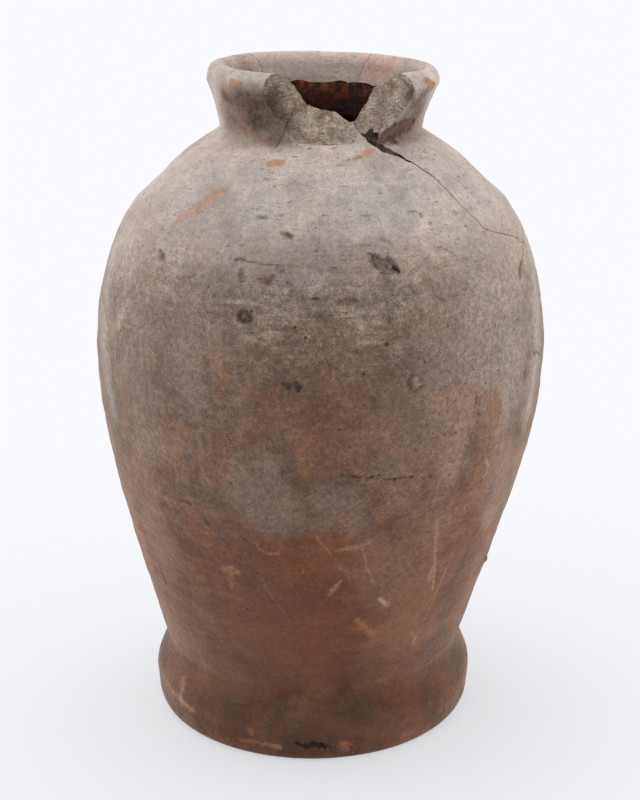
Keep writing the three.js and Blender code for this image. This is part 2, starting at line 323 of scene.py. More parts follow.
def mark(path, width, colour, strength, depth=0.0, soft=0.3, rough=0.35, ring=0.0, inside=False):
    """A mark seen in the photograph: path and width in its pixels, depth in millimetres."""
    spots, pixel = seen_place(path, inside)
    add_mark(spots, np.array(width) * pixel / 2, colour, strength, depth, soft, rough, ring)


def add_mark(spots, radius, colour, strength, depth, soft, rough, ring=0.0):
    """The radius is one number, or one for each spot."""
    MARKS.append({
        "spots": spots,
        "radii": np.broadcast_to(radius, len(spots)),
        "colour": colour,
        "strength": strength,
        "depth": depth * MM,
        "soft": soft,
        "rough": rough,
        "ring": ring,
        "seed": len(MARKS),
    })


def stroke_distance(places, spots, radii):
    """The distance from each place to a line of spots, as a share of the line's radius there."""
    if len(spots) == 1:
        return np.linalg.norm(places - spots[0], axis=1) / radii[0]
    best = np.full(len(places), 1e9)
    for i in range(len(spots) - 1):
        way = spots[i + 1] - spots[i]
        t = np.clip((places - spots[i]) @ way / (way @ way), 0, 1)
        distance = np.linalg.norm(places - spots[i] - t[:, None] * way, axis=1)
        best = np.minimum(best, distance / (radii[i] + (radii[i + 1] - radii[i]) * t))
    return best


def reach(places, found):
    """(the places a mark reaches, how far out in it each is: 0 on its line and 1 at its edge)"""
    spots, widest = found["spots"], found["radii"].max()
    margin = widest * (1 + found["soft"] + found["rough"]) + MM
    low, high = spots.min(0) - margin, spots.max(0) + margin
    near = np.flatnonzero(np.all((places > low) & (places < high), axis=1))
    there = places[near]
    rag = noise(there, min(max(widest * 0.9, 1.2 * MM), 9 * MM), 900 + found["seed"], 3)
    return near, stroke_distance(there, spots, found["radii"]) + found["rough"] * rag * 0.5


def mark_relief(places):
    """How far each place is pushed in by the marks, in metres."""
    push = np.zeros(len(places))
    for found in MARKS:
        if not found["depth"]:
            continue
        near, distance = reach(places, found)
        bowl = 1 - smooth(0.35, 1.0, distance)
        lip = np.exp(-(((distance - MARK_RING) / MARK_RING_WIDTH) ** 2)) * found["ring"]
        push[near] += found["depth"] * (bowl - lip)
    return push


def mark_paint(places):
    """(colours, how much of them shows, how sunk the surface is) at these places."""
    colour = np.zeros((len(places), 3))
    cover = np.zeros(len(places))
    sunk = np.zeros(len(places))
    for found in MARKS:
        near, distance = reach(places, found)
        shape = 1 - smooth(1 - found["soft"], 1 + found["soft"], distance)
        if found["depth"] > 0:
            sunk[near] = np.maximum(sunk[near], shape * min(1.0, found["depth"] / FULLY_SUNK))
        share = (shape * found["strength"])[:, None]
        tint = np.array(rgb(found["colour"]))
        colour[near] = colour[near] * (1 - share) + tint * share
        cover[near] = cover[near] * (1 - share[:, 0]) + share[:, 0]
    return colour / np.maximum(cover, 1e-6)[:, None], cover, sunk


def linear(channel):
    """A colour channel of 0 to 255 as light."""
    c = channel / 255
    return c / 12.92 if c <= 0.04045 else ((c + 0.055) / 1.055) ** 2.4


def rgb(colour):
    """A colour of 0 to 255 as light."""
    return tuple(linear(c) for c in colour)


ORANGE = (192, 146, 116)
RUST = (152, 102, 74)
PINK = (178, 146, 136)
TAN = (184, 150, 114)
BONE = (196, 180, 160)
SOOT = (74, 60, 52)
DARK = (50, 38, 32)
MAROON = (104, 66, 58)


# The places of the photographed marks are pixels of the photo.

# Wide soft stains, and painted light and shade: brown in the middle of the front, mostly painted shade,
# with grey patches over it; painted light on the sides of the upper belly and on the foot's top; painted
# shade at the shoulder's ends and round the foot's waist. Each has a path and its widths in pixels, a
# colour, a strength, a softness and a raggedness.
BROAD_STAINS_AND_PAINTED_LIGHT = [
    # Painted shade over the middle of the front, partly the clay's own brown
    ([(315, 290), (330, 360), (320, 440)], [130, 190, 150], (100, 80, 66), 0.34, 1.0, 0.7),
    ([(300, 264), (340, 262), (384, 262)], [22, 34, 40], (132, 116, 102), 0.3, 0.9, 0.8),
    ([(116, 250), (140, 248)], 44, (188, 174, 166), 0.5, 0.9, 0.8),
    ([(240, 282), (262, 256)], [36, 40], (176, 158, 144), 0.35, 0.9, 0.9),
    ([(262, 545), (282, 590), (268, 640)], [60, 76, 60], (82, 52, 41), 0.46, 0.9, 0.8),
    ([(412, 360), (424, 400)], [44, 40], (152, 128, 112), 0.4, 0.9, 0.9),
    ([(474, 300), (476, 350), (472, 385)], [44, 50, 40], (168, 152, 142), 0.6, 1.0, 0.8),
    ([(395, 430), (438, 438), (452, 466)], [50, 52, 44], (162, 130, 108), 0.5, 1.0, 0.9),
    ([(350, 452), (362, 468)], [36, 32], (150, 108, 80), 0.45, 1.0, 0.9),
    # Painted shade at the shoulder's left, darkening it where the side light falls
    ([(178, 192), (226, 178), (264, 198)], [60, 64, 50], (172, 162, 154), 0.36, 1.0, 0.8),
    ([(176, 226), (204, 222), (206, 250)], [52, 62, 46], (146, 132, 123), 0.42, 1.0, 0.8),
    # Painted shade at the shoulder's right, darkening it where the side light falls
    ([(498, 170), (508, 200)], 44, (168, 158, 151), 0.45, 1.0, 0.8),
    ([(210, 300), (230, 390)], [70, 90], (128, 106, 96), 0.3, 0.9, 0.9),
    ([(140, 290), (135, 370), (150, 450)], [60, 66, 50], (158, 138, 128), 0.5, 0.9, 0.9),
    ([(500, 250), (508, 330), (508, 390)], [66, 84, 60], (178, 162, 153), 0.72, 1.0, 0.8),
    # Painted light: the pale right and left sides of the upper belly, where the light from the sides falls
    ([(527, 240), (536, 300), (536, 360), (528, 410)], [26, 30, 30, 24], (196, 190, 190), 0.55, 1.0, 0.8),
    ([(114, 250), (106, 310), (106, 370), (113, 405)], [24, 26, 26, 22], (192, 184, 182), 0.42, 1.0, 0.8),
    ([(158, 560), (178, 610), (186, 640)], [30, 34, 30], (104, 66, 46), 0.4, 1.0, 0.8),
    ([(146, 520), (170, 590)], 24, (118, 78, 54), 0.35, 1.0, 0.8),
    ([(320, 556), (350, 600), (345, 650)], [90, 110, 90], (88, 48, 26), 0.28, 1.0, 0.8),
    ([(222, 535), (240, 562)], 66, (94, 56, 38), 0.26, 1.0, 0.8),
    ([(384, 405), (414, 408)], 38, (106, 72, 48), 0.32, 1.0, 0.9),
    ([(262, 345), (296, 375)], 40, (88, 70, 60), 0.3, 1.0, 0.9),
    ([(236, 438), (262, 466)], [42, 40], (90, 72, 60), 0.3, 1.0, 0.9),
    ([(474, 164)], 36, (124, 112, 106), 0.4, 1.0, 0.8),
    ([(452, 280), (450, 340), (446, 400)], [50, 60, 50], (158, 140, 128), 0.5, 0.9, 0.9),
    ([(190, 290), (192, 340), (190, 395)], [50, 56, 50], (150, 132, 124), 0.6, 0.9, 0.9),
    ([(340, 384), (372, 396)], [46, 54], (126, 90, 67), 0.45, 1.0, 1.0),
    ([(300, 412), (318, 466)], [46, 44], (128, 84, 57), 0.45, 1.0, 1.0),
    ([(260, 425), (262, 400)], 34, (126, 80, 54), 0.4, 0.8, 1.0),
    ([(255, 475), (262, 505)], [50, 72], (134, 117, 107), 0.62, 0.5, 0.9),
    ([(268, 520), (322, 524)], [26, 20], (132, 113, 102), 0.5, 0.6, 1.0),
    # Painted light on the top of the foot, left and right, which faces up to the light
    ([(172, 676), (206, 688), (242, 682)], [26, 30, 24], (134, 90, 66), 0.5, 0.9, 0.9),
    ([(408, 680), (446, 672)], 30, (138, 94, 68), 0.5, 0.9, 0.9),
    ([(352, 734), (418, 726)], 26, (132, 88, 66), 0.5, 0.9, 0.9),
    ([(384, 582), (396, 560)], [44, 40], (138, 98, 74), 0.35, 1.0, 0.9),
    ([(190, 430), (215, 500)], [60, 50], (128, 108, 98), 0.4, 0.8, 1.0),
    ([(318, 498), (346, 508), (352, 530)], [36, 42, 26], (134, 114, 104), 0.6, 0.8, 0.9),
    ([(395, 400), (400, 450)], [44, 36], (120, 104, 94), 0.3, 0.8, 1.0),
    ([(390, 470), (420, 505), (440, 520)], [46, 60, 40], (140, 112, 96), 0.4, 0.7, 0.9),
    ([(440, 402), (464, 398), (492, 404)], [32, 38, 28], (162, 124, 98), 0.5, 0.8, 1.0),
    ([(300, 434), (304, 450), (302, 474)], [15, 22, 16], (154, 98, 60), 0.4, 0.9, 1.8),
    ([(384, 436), (392, 450)], [16, 18], (154, 104, 68), 0.4, 0.9, 1.8),
    ([(464, 418), (460, 444), (452, 470)], [26, 30, 26], (172, 140, 118), 0.5, 0.9, 0.9),
    ([(372, 556), (410, 590), (428, 560)], [60, 70, 60], (150, 114, 92), 0.4, 1.0, 0.8),
    ([(396, 640), (424, 636)], 44, (154, 114, 86), 0.36, 1.0, 0.8),
    # Painted light on the top of the foot, on the left
    ([(176, 668), (226, 672)], [40, 50], (132, 96, 74), 0.35, 1.0, 0.8),
    ([(494, 408), (493, 430), (489, 460), (480, 492)], [26, 44, 56, 34], (148, 103, 75), 0.7, 0.35, 0.35),
    ([(500, 430), (502, 470), (492, 514)], [34, 40, 36], (162, 130, 110), 0.55, 0.8, 0.8),
    ([(140, 470), (158, 520), (168, 560)], [40, 44, 36], (150, 118, 102), 0.4, 0.8, 0.9),
    ([(225, 560), (262, 640)], [80, 100], (110, 72, 58), 0.4, 0.8, 0.8),
    ([(330, 545), (300, 560), (250, 540)], [60, 60, 40], (128, 76, 46), 0.4, 0.6, 0.8),
    ([(330, 570), (300, 640)], [80, 110], (122, 72, 46), 0.36, 0.8, 0.8),
    ([(225, 568), (232, 570), (238, 572)], [8, 12, 7], (168, 124, 86), 0.5, 0.6, 1.0),
    ([(231, 577), (232, 588)], [7, 4], (158, 114, 80), 0.4, 0.6, 1.0),
    ([(420, 560), (400, 640)], [60, 70], (146, 100, 72), 0.36, 0.9, 0.9),
    ([(470, 610), (462, 640)], 30, (150, 104, 74), 0.4, 0.9, 0.8),
    ([(285, 722), (296, 730)], [46, 40], (66, 50, 40), 0.62, 0.8, 0.9),
    ([(340, 703), (362, 706)], [30, 34], (70, 56, 44), 0.6, 0.8, 0.9),
    # Painted shade in the band round the foot's waist
    ([(200, 706), (320, 722), (430, 700)], [34, 44, 30], (92, 66, 52), 0.4, 0.8, 0.6),
    ([(447, 664), (452, 672), (461, 645)], [14, 18, 14], (84, 68, 56), 0.6, 0.7, 0.9),
]

# The neck's marks. Each has a path and its widths in pixels, a colour and a strength, and where
# they differ from the usual ones a depth in millimetres, a softness and a raggedness.
NECK_MARKS = [
    ([(229, 74), (236, 75)], 9, (212, 164, 132), 0.75, 0, 0.6, 0.9),
    ([(231, 83.5), (236, 83)], 8, (198, 140, 106), 0.85, 0, 0.4, 0.9),
    ([(251, 84), (255, 85)], 6, (190, 138, 106), 0.75, 0, 0.4, 0.9),
    ([(222, 108), (250, 112)], [20, 24], (132, 108, 96), 0.5, 0, 0.9),
    # Painted shade under the lip on the left, partly a stain
    ([(226, 96), (246, 100), (268, 101)], [18, 30, 30], (68, 48, 34), 0.9, 0, 0.7, 0.2),
    ([(252, 106), (264, 105)], 9, (68, 48, 38), 0.7, 0, 0.6),
    # Painted shade in the corner at the neck's foot on the left, partly a stain
    ([(230, 120), (252, 124)], [30, 34], (92, 68, 47), 0.8, 0, 0.9, 0.2),
    ([(258, 120), (280, 124), (276, 138)], [26, 32, 24], (64, 46, 29), 0.85, 0, 0.8, 0.3),
    ([(280, 134), (296, 142)], [18, 16], (132, 114, 100), 0.5, 0, 0.9),
    ([(243, 128), (250, 133)], 12, (146, 98, 80), 0.55, 0, 0.8),
    ([(258, 139), (272, 141)], 10, (136, 94, 74), 0.5, 0, 0.8),
    ([(214, 70), (222, 84), (230, 92)], [10, 12, 10], (170, 136, 116), 0.4, 0, 0.9, 0.9),
    ([(266, 83), (274, 80), (282, 79)], [10, 12, 9], (84, 75, 68), 0.8, 0, 0.5, 0.7),
    ([(338, 133), (351, 133)], 17, (128, 118, 106), 0.45, 0, 0.2, 0.4),
    ([(424, 95), (417, 109), (407, 124)], [22, 40, 30], (72, 48, 42), 0.85, 0, 0.7),
    ([(398, 138), (418, 127), (428, 114)], [18, 24, 18], (118, 92, 82), 0.55, 0, 0.9),
    ([(396, 140), (424, 132)], [16, 18], (140, 118, 108), 0.5, 0, 0.8),
    ([(390, 84), (386, 100), (378, 116)], [32, 34, 26], (128, 111, 98), 0.6, 0, 0.8),
    ([(404, 84), (412, 92), (414, 102)], [7, 9, 8], (84, 68, 58), 0.7, 0, 0.6, 0.8),
    ([(294, 144.5), (318, 144.8), (350, 144)], [2.6, 3, 2.6], (222, 205, 192), 0.75, 0, 0.4, 0.9),
    ([(336.8, 122), (337, 132), (336.5, 142)], 1.6, (220, 206, 194), 0.5, 0, 0.4, 0.7),
    ([(384, 132), (394, 124), (404, 116), (414, 111)], [6, 10, 12, 8], (140, 129, 118), 0.6, 0.3, 0.3, 1.1),
    ([(379, 143), (388, 137), (400, 129), (412, 122)], [8, 17, 17, 9], (78, 45, 39), 0.88, 0.4, 0.35, 0.9),
    ([(399, 127), (408, 123)], 5, MAROON, 0.6, 0, 0.4),
    ([(379, 140), (396, 129)], 4, (168, 104, 80), 0.4, 0, 0.6),
    ([(391, 103)], 4.5, (232, 226, 216), 0.8, 0, 0.4),
    ([(395, 86), (404, 92), (409, 100)], [6, 9, 6], (112, 102, 94), 0.4, 0, 0.7),
    ([(405, 94), (408, 95)], 4, TAN, 0.7, 0, 0.4),
    ([(427, 78), (433, 86)], [9, 12], (176, 130, 86), 0.85, 0.7, 0.3, 0.7),
    ([(426, 87), (429, 79), (435, 78), (437, 85), (432, 90)], 3, (222, 200, 168), 0.65, 0, 0.3, 0.6),
    ([(431, 84), (434, 83)], 4, (150, 104, 68), 0.7, 0.3, 0.3, 0.5),
    ([(420, 70), (434, 72)], 5, BONE, 0.45, 0.3),
]

# Light stains inside the mouth, in the same form
MOUTH_STAINS = [
    ([(262, 66), (320, 62), (370, 66)], [26, 32, 32], (232, 212, 202), 0.85, 0, 0.9),
    ([(374, 64), (390, 70), (386, 82)], 28, (232, 190, 178), 0.8, 0, 0.8),
    ([(244, 65)], 11, (214, 160, 124), 0.75, 0, 0.8),
]

# Marks of the shoulder and the upper belly, in the same form. The finger mark's last number is
# the height of its raised lip, as a share of its depth.
UPPER_MARKS = [
    # Orange and pink stains of the shoulder
    ([(271, 163.3), (280, 163.3)], 10, (190, 142, 108), 0.85, 0.1, 0.35, 0.5),
    ([(175, 223), (190, 213), (210, 199), (224, 191)], [8, 14, 20, 14],
     (170, 142, 124), 0.65, 0.1, 0.7, 0.9),
    ([(176, 222), (194, 211), (210, 200), (222, 192)], [5, 9, 13, 8], (188, 142, 112), 0.62, 0, 0.7, 1.2),
    ([(361, 157), (366, 154), (373, 150)], [5, 8, 4], (204, 146, 112), 0.85, 0, 0.5),
    ([(355, 159), (359, 157.5)], [5, 7], (132, 104, 98), 0.6, 0, 0.5),
    ([(150, 209)], 18, PINK, 0.4, 0, 0.8),
    ([(118, 257)], 16, PINK, 0.4, 0, 0.8),
    # The round finger mark
    ([(244, 316), (247, 317.5)], 14.5, (78, 62, 52), 0.95, 1.0, 0.12, 0.15, 0.3),
    ([(244, 315), (247, 317)], 4, (104, 86, 74), 0.6, -0.2, 0.3, 0.4),
    ([(240, 316), (242, 320), (247, 321.5), (251, 319)], 2.6, DARK, 0.75, 0.3, 0.3, 0.4),
    # The chip with dark cuts round it
    ([(377, 262), (386, 265), (392, 268)], [15, 21, 15], (112, 98, 88), 0.8, 0.9, 0.3, 0.5),
    ([(373, 257), (374, 264), (379, 270)], [2, 2.6, 2], (62, 50, 43), 0.8, 0.4, 0.3, 0.9),
    ([(378, 259), (386, 259), (393, 264)], [2, 2.4, 2.4], (58, 46, 40), 0.8, 0.4, 0.3, 0.9),
    ([(381, 264), (387, 267), (391, 271)], [1.8, 2.2, 1.8], (70, 57, 49), 0.7, 0.3, 0.3, 1.0),
    ([(381, 273), (388, 274.5), (394, 273)], [1.6, 2.4, 2], SOOT, 0.7, 0.3, 0.3, 0.9),
    ([(395.5, 268), (398, 271)], [6, 5], (32, 25, 21), 0.92, 0.8, 0.2, 0.5),
    ([(369.5, 253), (374, 256)], [3.5, 2], SOOT, 0.7, 0.4, 0.3, 0.8),
    # Small dents, cuts and stains
    ([(283, 384), (289, 386.5)], [4, 8], (66, 52, 44), 0.95, 0.7, 0.3, 0.6),
    ([(296, 383), (298, 387), (298, 391)], [5, 7, 4], (60, 46, 38), 0.95, 0.7, 0.3, 0.6),
    ([(240.6, 258.5), (248, 262), (266.5, 265), (294, 267), (337, 268)], [3, 2, 1.8, 1.8, 1],
     DARK, 0.6, 0.4),
    ([(236.5, 259.5)], 4, DARK, 0.7, 0.5),
    ([(176.8, 278), (186, 278), (195.2, 275.2)], [1.5, 2, 3], (120, 92, 74), 0.7, 0.2, 0.3, 0.7),
    ([(161, 252), (163, 259)], [6, 8], (122, 104, 90), 0.8, 0.3, 0.3, 0.7),
    ([(240, 271), (241, 278)], [6, 9], (124, 104, 88), 0.8, 0.2, 0.3, 0.8),
    ([(259, 279), (267, 281), (274, 277)], [4, 8, 5], (112, 88, 72), 0.8, 0.3, 0.3, 1.2),
    ([(262, 275.5), (268, 276)], 4, (158, 120, 94), 0.7, 0, 0.3, 1.0),
    ([(277, 268), (283, 272)], [4, 6], (116, 97, 84), 0.75, 0.2, 0.3, 1.1),
    ([(287, 284), (293, 288)], [4, 6], (116, 98, 85), 0.8, 0.2, 0.3, 1.1),
    ([(258, 217.5), (266, 218)], 5, (130, 114, 102), 0.7, 0.2, 0.3, 0.7),
    ([(282, 233), (291, 237)], [5, 7], (118, 102, 90), 0.8, 0.3, 0.3, 0.8),
    ([(208.6, 286.7)], 3, DARK, 0.9, 0.5),
    ([(200, 304), (203.6, 324), (209, 346)], [1.5, 2.4, 1.2], (112, 92, 80), 0.5, 0.2, 0.3, 0.8),
    ([(213, 311), (214, 321)], [5, 6], (122, 102, 88), 0.7, 0, 0.3, 0.8),
    ([(313.5, 299), (319, 298)], 3.6, DARK, 0.8, 0.4, 0.3, 0.6),
    ([(339, 303), (348, 302), (356, 300)], [5, 9, 5], (104, 86, 72), 0.75, 0.3, 0.3, 1.0),
    ([(224, 301), (244, 302), (263, 305)], [2, 5, 2], (184, 168, 154), 0.5, 0, 0.6, 0.8),
    ([(240, 336), (252, 339), (263, 343)], [3, 6, 3], (178, 160, 146), 0.45, 0, 0.7, 0.8),
    ([(363.5, 374)], 4, DARK, 0.85, 0.4),
    ([(371, 399), (375, 405)], [8, 11], (96, 78, 66), 0.7, 0.3, 0.3, 0.8),
    ([(387, 344.6)], 5, DARK, 0.9, 0.5),
    ([(104.5, 296), (106, 310), (109, 326)], [1.5, 2.4, 1.5], (86, 68, 58), 0.7, 0.2, 0.3, 0.6),
    ([(219, 373), (226, 376)], 8, (164, 118, 84), 0.6, 0, 0.6, 0.9),
    ([(213, 345), (216, 362), (222, 385)], [8, 14, 12], (150, 112, 88), 0.5, 0, 0.8, 1.0),
    ([(144, 312), (146, 330), (143, 345)], [8, 10, 7], (146, 118, 104), 0.5, 0, 0.8, 1.0),
    ([(116, 338), (114, 360), (118, 385)], [8, 10, 8], (152, 124, 108), 0.5, 0, 0.8, 1.0),
    ([(380.3, 238.7), (388, 242), (394, 246.4)], [1.5, 2.2, 1.2], (128, 106, 92), 0.7, 0.2, 0.3, 0.6),
    ([(383.7, 285.2), (388, 287), (392.3, 292.9)], [1.5, 2, 1.2], (116, 96, 84), 0.6, 0.2, 0.3, 0.7),
    ([(410, 284), (412, 290), (417, 295)], [2, 4, 2], (110, 96, 86), 0.6, 0.3, 0.3, 0.8),
    ([(429, 283), (436, 295), (443.1, 302.4)], [1.2, 2.2, 4], (126, 100, 82), 0.6, 0.2, 0.3, 0.7),
    ([(451, 296.3), (463, 293.8)], [2.4, 1.4], (132, 104, 88), 0.6, 0.2, 0.3, 0.7),
    ([(476, 391), (476.7, 404)], [2, 3], (96, 74, 60), 0.7, 0.3, 0.3, 0.7),
    ([(498.2, 370.4)], 3, DARK, 0.85, 0.4),
    ([(524.5, 372), (525, 379)], 2.4, DARK, 0.7, 0.3),
    ([(534, 354), (537, 352), (540, 354)], 2.8, DARK, 0.7, 0.4),
    ([(511, 412), (520, 416)], [6, 9], (112, 98, 90), 0.7, 0.2, 0.3, 0.8),
]

# Marks of the lower belly and the foot, in the same form
PATCH_EDGE = [(480, 398), (478, 412), (473.4, 430), (468, 446), (462, 464), (457.4, 482), (460, 496)]
LOWER_MARKS = [
    # The dark edge of the orange patch and the dark end of the crack, on the right
    (PATCH_EDGE, [1.4, 1.2, 1.8, 2, 2, 2, 1.2], (92, 68, 54), 0.6, 0.3, 0.3, 0.4),
    ([(520, 217), (523, 231), (523.4, 246), (521.5, 262)], [2.4, 3, 3, 4], (122, 92, 78), 0.75, 0.1, 0.4),
    ([(521.4, 262), (520.2, 270), (519.6, 276)], [5, 9, 7], (96, 66, 54), 0.95, 0, 0.25, 0.1),
    # Light scrapes and a dark chip of the foot
    ([(161, 670), (165, 680), (170, 690)], [5, 9, 6], (170, 118, 84), 0.55, 0.2, 0.7, 1.9),
    ([(172, 692), (181, 701), (193, 711)], [4, 6, 5], (186, 138, 104), 0.65, 0.3, 0.6, 1.9),
    ([(182, 680), (181, 690), (178.5, 700)], [8, 6, 4], (182, 136, 102), 0.65, 0.3, 0.6, 1.9),
    ([(240, 740), (258, 743), (279, 747)], [3, 4, 5], (168, 116, 84), 0.5, 0.2, 0.6, 2.0),
    ([(250, 730), (251, 734)], 6, (160, 104, 76), 0.55, 0.2, 0.5, 1.6),
    ([(276, 747), (279, 747.5)], 5, (190, 132, 94), 0.7, 0.4, 0.5, 1.4),
    ([(343, 745), (348, 747)], 7, (182, 108, 70), 0.7, 0.3, 0.6, 1.5),
    ([(404, 736), (414, 732)], [6, 5], (172, 118, 84), 0.5, 0.2, 0.6, 1.8),
    ([(296, 743), (306, 746), (316, 744), (326, 748)], [3, 7, 8, 4], (38, 30, 26), 0.95, 1.4, 0.15, 1.0),
    ([(322, 744), (330, 747)], [5, 3], (44, 34, 30), 0.9, 0.8, 0.3, 1.0),
    # Lumps and dark cuts of the lower belly
    ([(485, 556), (487, 564)], [5, 6], (150, 124, 104), 0.6, -0.9, 0.3, 0.6),
    ([(184.5, 500.5), (188, 502), (192, 504)], [3, 4.4, 3], (72, 56, 48), 0.85, 0.4, 0.3, 0.7),
    ([(205, 519.5), (208.5, 522.5)], [3, 4], (74, 56, 48), 0.85, 0.4, 0.3, 0.7),
    ([(159, 561), (162, 572), (166.6, 583)], [2, 3.6, 3], (70, 50, 40), 0.75, 0.3, 0.3, 0.7),
    ([(225, 701), (240, 705), (252, 708)], [2, 5, 3], (66, 50, 40), 0.6, 0.2, 0.3, 0.8),
    ([(402, 666), (414, 663)], [3, 4], (80, 60, 50), 0.7, 0.2, 0.3, 0.8),
    ([(351, 653), (356, 655), (360, 651)], 1.8, (76, 56, 46), 0.7, 0.2),
    # Light scrapes of the lower belly
    ([(433, 568), (431, 577), (430, 581)], [5, 7, 4], (184, 130, 88), 0.7, 0.1, 0.3, 0.8),
    ([(358, 620), (364, 626), (373, 634)], [5, 10, 6], (168, 116, 76), 0.6, 0, 0.6, 1.2),
    ([(336, 551.5), (346, 548.5), (356, 548), (367, 545)], [3, 5, 6, 7], (170, 124, 90), 0.5, 0, 0.6, 1.3),
    ([(330, 594), (336, 587), (341, 581)], [4, 5, 3], (170, 134, 104), 0.5, 0.1, 0.6, 1.2),
    ([(341, 568), (352, 576)], [4, 7], (162, 114, 76), 0.4, 0, 0.7, 1.2),
    ([(380, 599), (387, 605)], [5, 4.5], (190, 162, 136), 0.7, 0.1, 0.4, 0.7),
    ([(411, 633), (416, 637), (420, 632)], [2, 4, 2], (184, 144, 112), 0.5, 0, 0.5, 1.2),
    ([(414, 644), (416, 637)], [4, 3], (184, 144, 112), 0.5, 0, 0.5, 1.2),
    ([(486, 458), (489, 468), (485, 476)], [2, 4, 3], (186, 164, 146), 0.5, 0.2, 0.3, 1.0),
]

# Small dark specks: a pixel, a width in pixels and a strength
SPECKS = [
    (163, 256, 7, 0.5),
    (240, 276, 6, 0.45),
    (268, 282, 7, 0.5),
    (290, 282, 6, 0.45),
    (262, 218, 5, 0.4),
    (287, 235, 7, 0.5),
    (316, 299, 4, 0.5),
    (228, 246, 4, 0.3),
    (205, 330, 4, 0.4),
    (352, 330, 3, 0.4),
    (444, 300, 3, 0.5),
    (476, 340, 4, 0.5),
    (534, 352, 5, 0.6),
    (421, 214, 4, 0.3),
    (205, 516, 3, 0.4),
    (192, 560, 4, 0.4),
    (398, 604, 4, 0.4),
    (301, 447, 3, 0.4),
    (253, 470, 4, 0.4),
    (421, 330, 3, 0.4),
    (505, 318, 4, 0.5),
    (434, 155, 4, 0.4),
    (498, 452, 4, 0.5),
    (445, 447, 3, 0.5),
    (388, 484, 4, 0.6),
    (214, 296, 5, 0.3),
    (330, 232, 3, 0.4),
    (203, 277, 4, 0.3),
]

# Thin light scratches: a path, a width in pixels and a strength
SCRATCHES = [
    ([(437, 520), (436, 545), (433, 590)], [2, 4, 2], 0.55),
    ([(446, 567), (438, 590), (427, 615)], [1.5, 2.6, 1.5], 0.4),
    ([(363, 550), (368, 570), (375, 585)], [1.5, 2.4, 1.5], 0.45),
    ([(381, 600), (386, 606)], [3.5, 3], 0.5),
    ([(256, 542), (260, 550), (268, 554), (279, 554)], [1.2, 2, 2, 1], 0.3),
    ([(262, 580), (272, 597), (284, 612)], 1.4, 0.25),
    ([(312, 531), (322, 544), (336, 560)], [1.5, 2.2, 1.2], 0.35),
    ([(412, 470), (409, 486)], 1.6, 0.3),
    ([(192, 640), (205, 668)], 1.8, 0.25),
    ([(478, 300), (470, 336)], 1.4, 0.25),
    ([(312, 188), (340, 186)], 1.4, 0.3),
    ([(300, 208), (326, 206)], 1.4, 0.25),
]

# A small round hoop: its dark edge, and its dark and light halves
HOOP_X, HOOP_Y = 414.5, 383
HOOP_WIDTH, HOOP_HEIGHT = 6.5, 8
HOOP = [
    (HOOP_X + HOOP_WIDTH * math.cos(turn), HOOP_Y + HOOP_HEIGHT * math.sin(turn))
    for turn in np.linspace(0.3, 6.0, 18)
]
HOOP_MARKS = [
    (HOOP, 3.0, (106, 80, 66), 0.8, 0.4, 0.3, 0.6),
    ([(410, 378), (411, 386)], [5, 7], (98, 72, 60), 0.75, 0.3),
    ([(417, 379), (418, 385)], 6, (168, 140, 124), 0.7),
]

# A level crack across the lower belly, with wider spots: a pixel and a width in pixels
LEVEL_CRACK = [(350, 476), (362, 478), (371, 478), (380, 479.5), (390, 479.5), (398, 478), (413, 476.5)]
LEVEL_CRACK_WIDTHS = [0.8, 1.2, 1.8, 1.4, 1.8, 1.2, 0.8]
LEVEL_CRACK_SPOTS = [
    (354.5, 477, 3.2),
    (371.5, 477.5, 4.4),
    (378.5, 475.4, 2.6),
    (394, 479.6, 3.4),
    (411, 476.6, 2.6),
    (430, 476, 3.2),
    (343, 475, 2.4),
]

# Faint cuts of the upper belly: a path, its widths in pixels, a strength and a depth in millimetres
FAINT_CUTS = [
    ([(226, 283), (243, 282), (252, 278)], [1, 2, 1], 0.35, 0.25),
    ([(285, 295), (318, 301)], [2, 1], 0.4, 0.3),
    ([(330, 256), (372, 262)], [1, 2], 0.3, 0.25),
]


def photographed_marks():
    """The marks that the photograph shows. A later one lies over those before it."""
    for path, width, colour, strength, soft, rough in BROAD_STAINS_AND_PAINTED_LIGHT:
        mark(path, width, colour, strength, 0, soft, rough)
    for row in NECK_MARKS:
        mark(*row)
    for row in MOUTH_STAINS:
        mark(*row, inside=True)
    for row in UPPER_MARKS:
        mark(*row)
    for x, y, width, strength in SPECKS:
        mark([(x, y)], width, SOOT, strength, 0.35, rough=0.8)
    for row in HOOP_MARKS:
        mark(*row)
    mark(LEVEL_CRACK, LEVEL_CRACK_WIDTHS, DARK, 0.75, 0.4, rough=0.8)
    for x, y, width in LEVEL_CRACK_SPOTS:
        mark([(x, y), (x + 1.2, y + 0.4)], width, DARK, 0.85, 0.5, soft=0.2, rough=0.8)
    for path, width, strength, depth in FAINT_CUTS:
        mark(path, width, SOOT, strength, depth, rough=0.9)
    for path, width, strength in SCRATCHES:
        mark(path, width, TAN, strength, 0.12, soft=0.5, rough=1.3)
    for row in LOWER_MARKS:
        mark(*row)


HIDDEN_SEED = 41
HIDDEN_SPECKS = 150
HIDDEN_SCRATCHES = 40
HIDDEN_STAINS = 22
HIDDEN_AZIMUTHS = (95, 265)
HIDDEN_SPECK_HEIGHTS = (20 * MM, 320 * MM)
HIDDEN_HEIGHTS = (30 * MM, 310 * MM)
SCRATCH_LOWEST = 4 * MM
SCRATCH_HIGHEST = 325 * MM
SCRATCH_FALL = 12 * MM


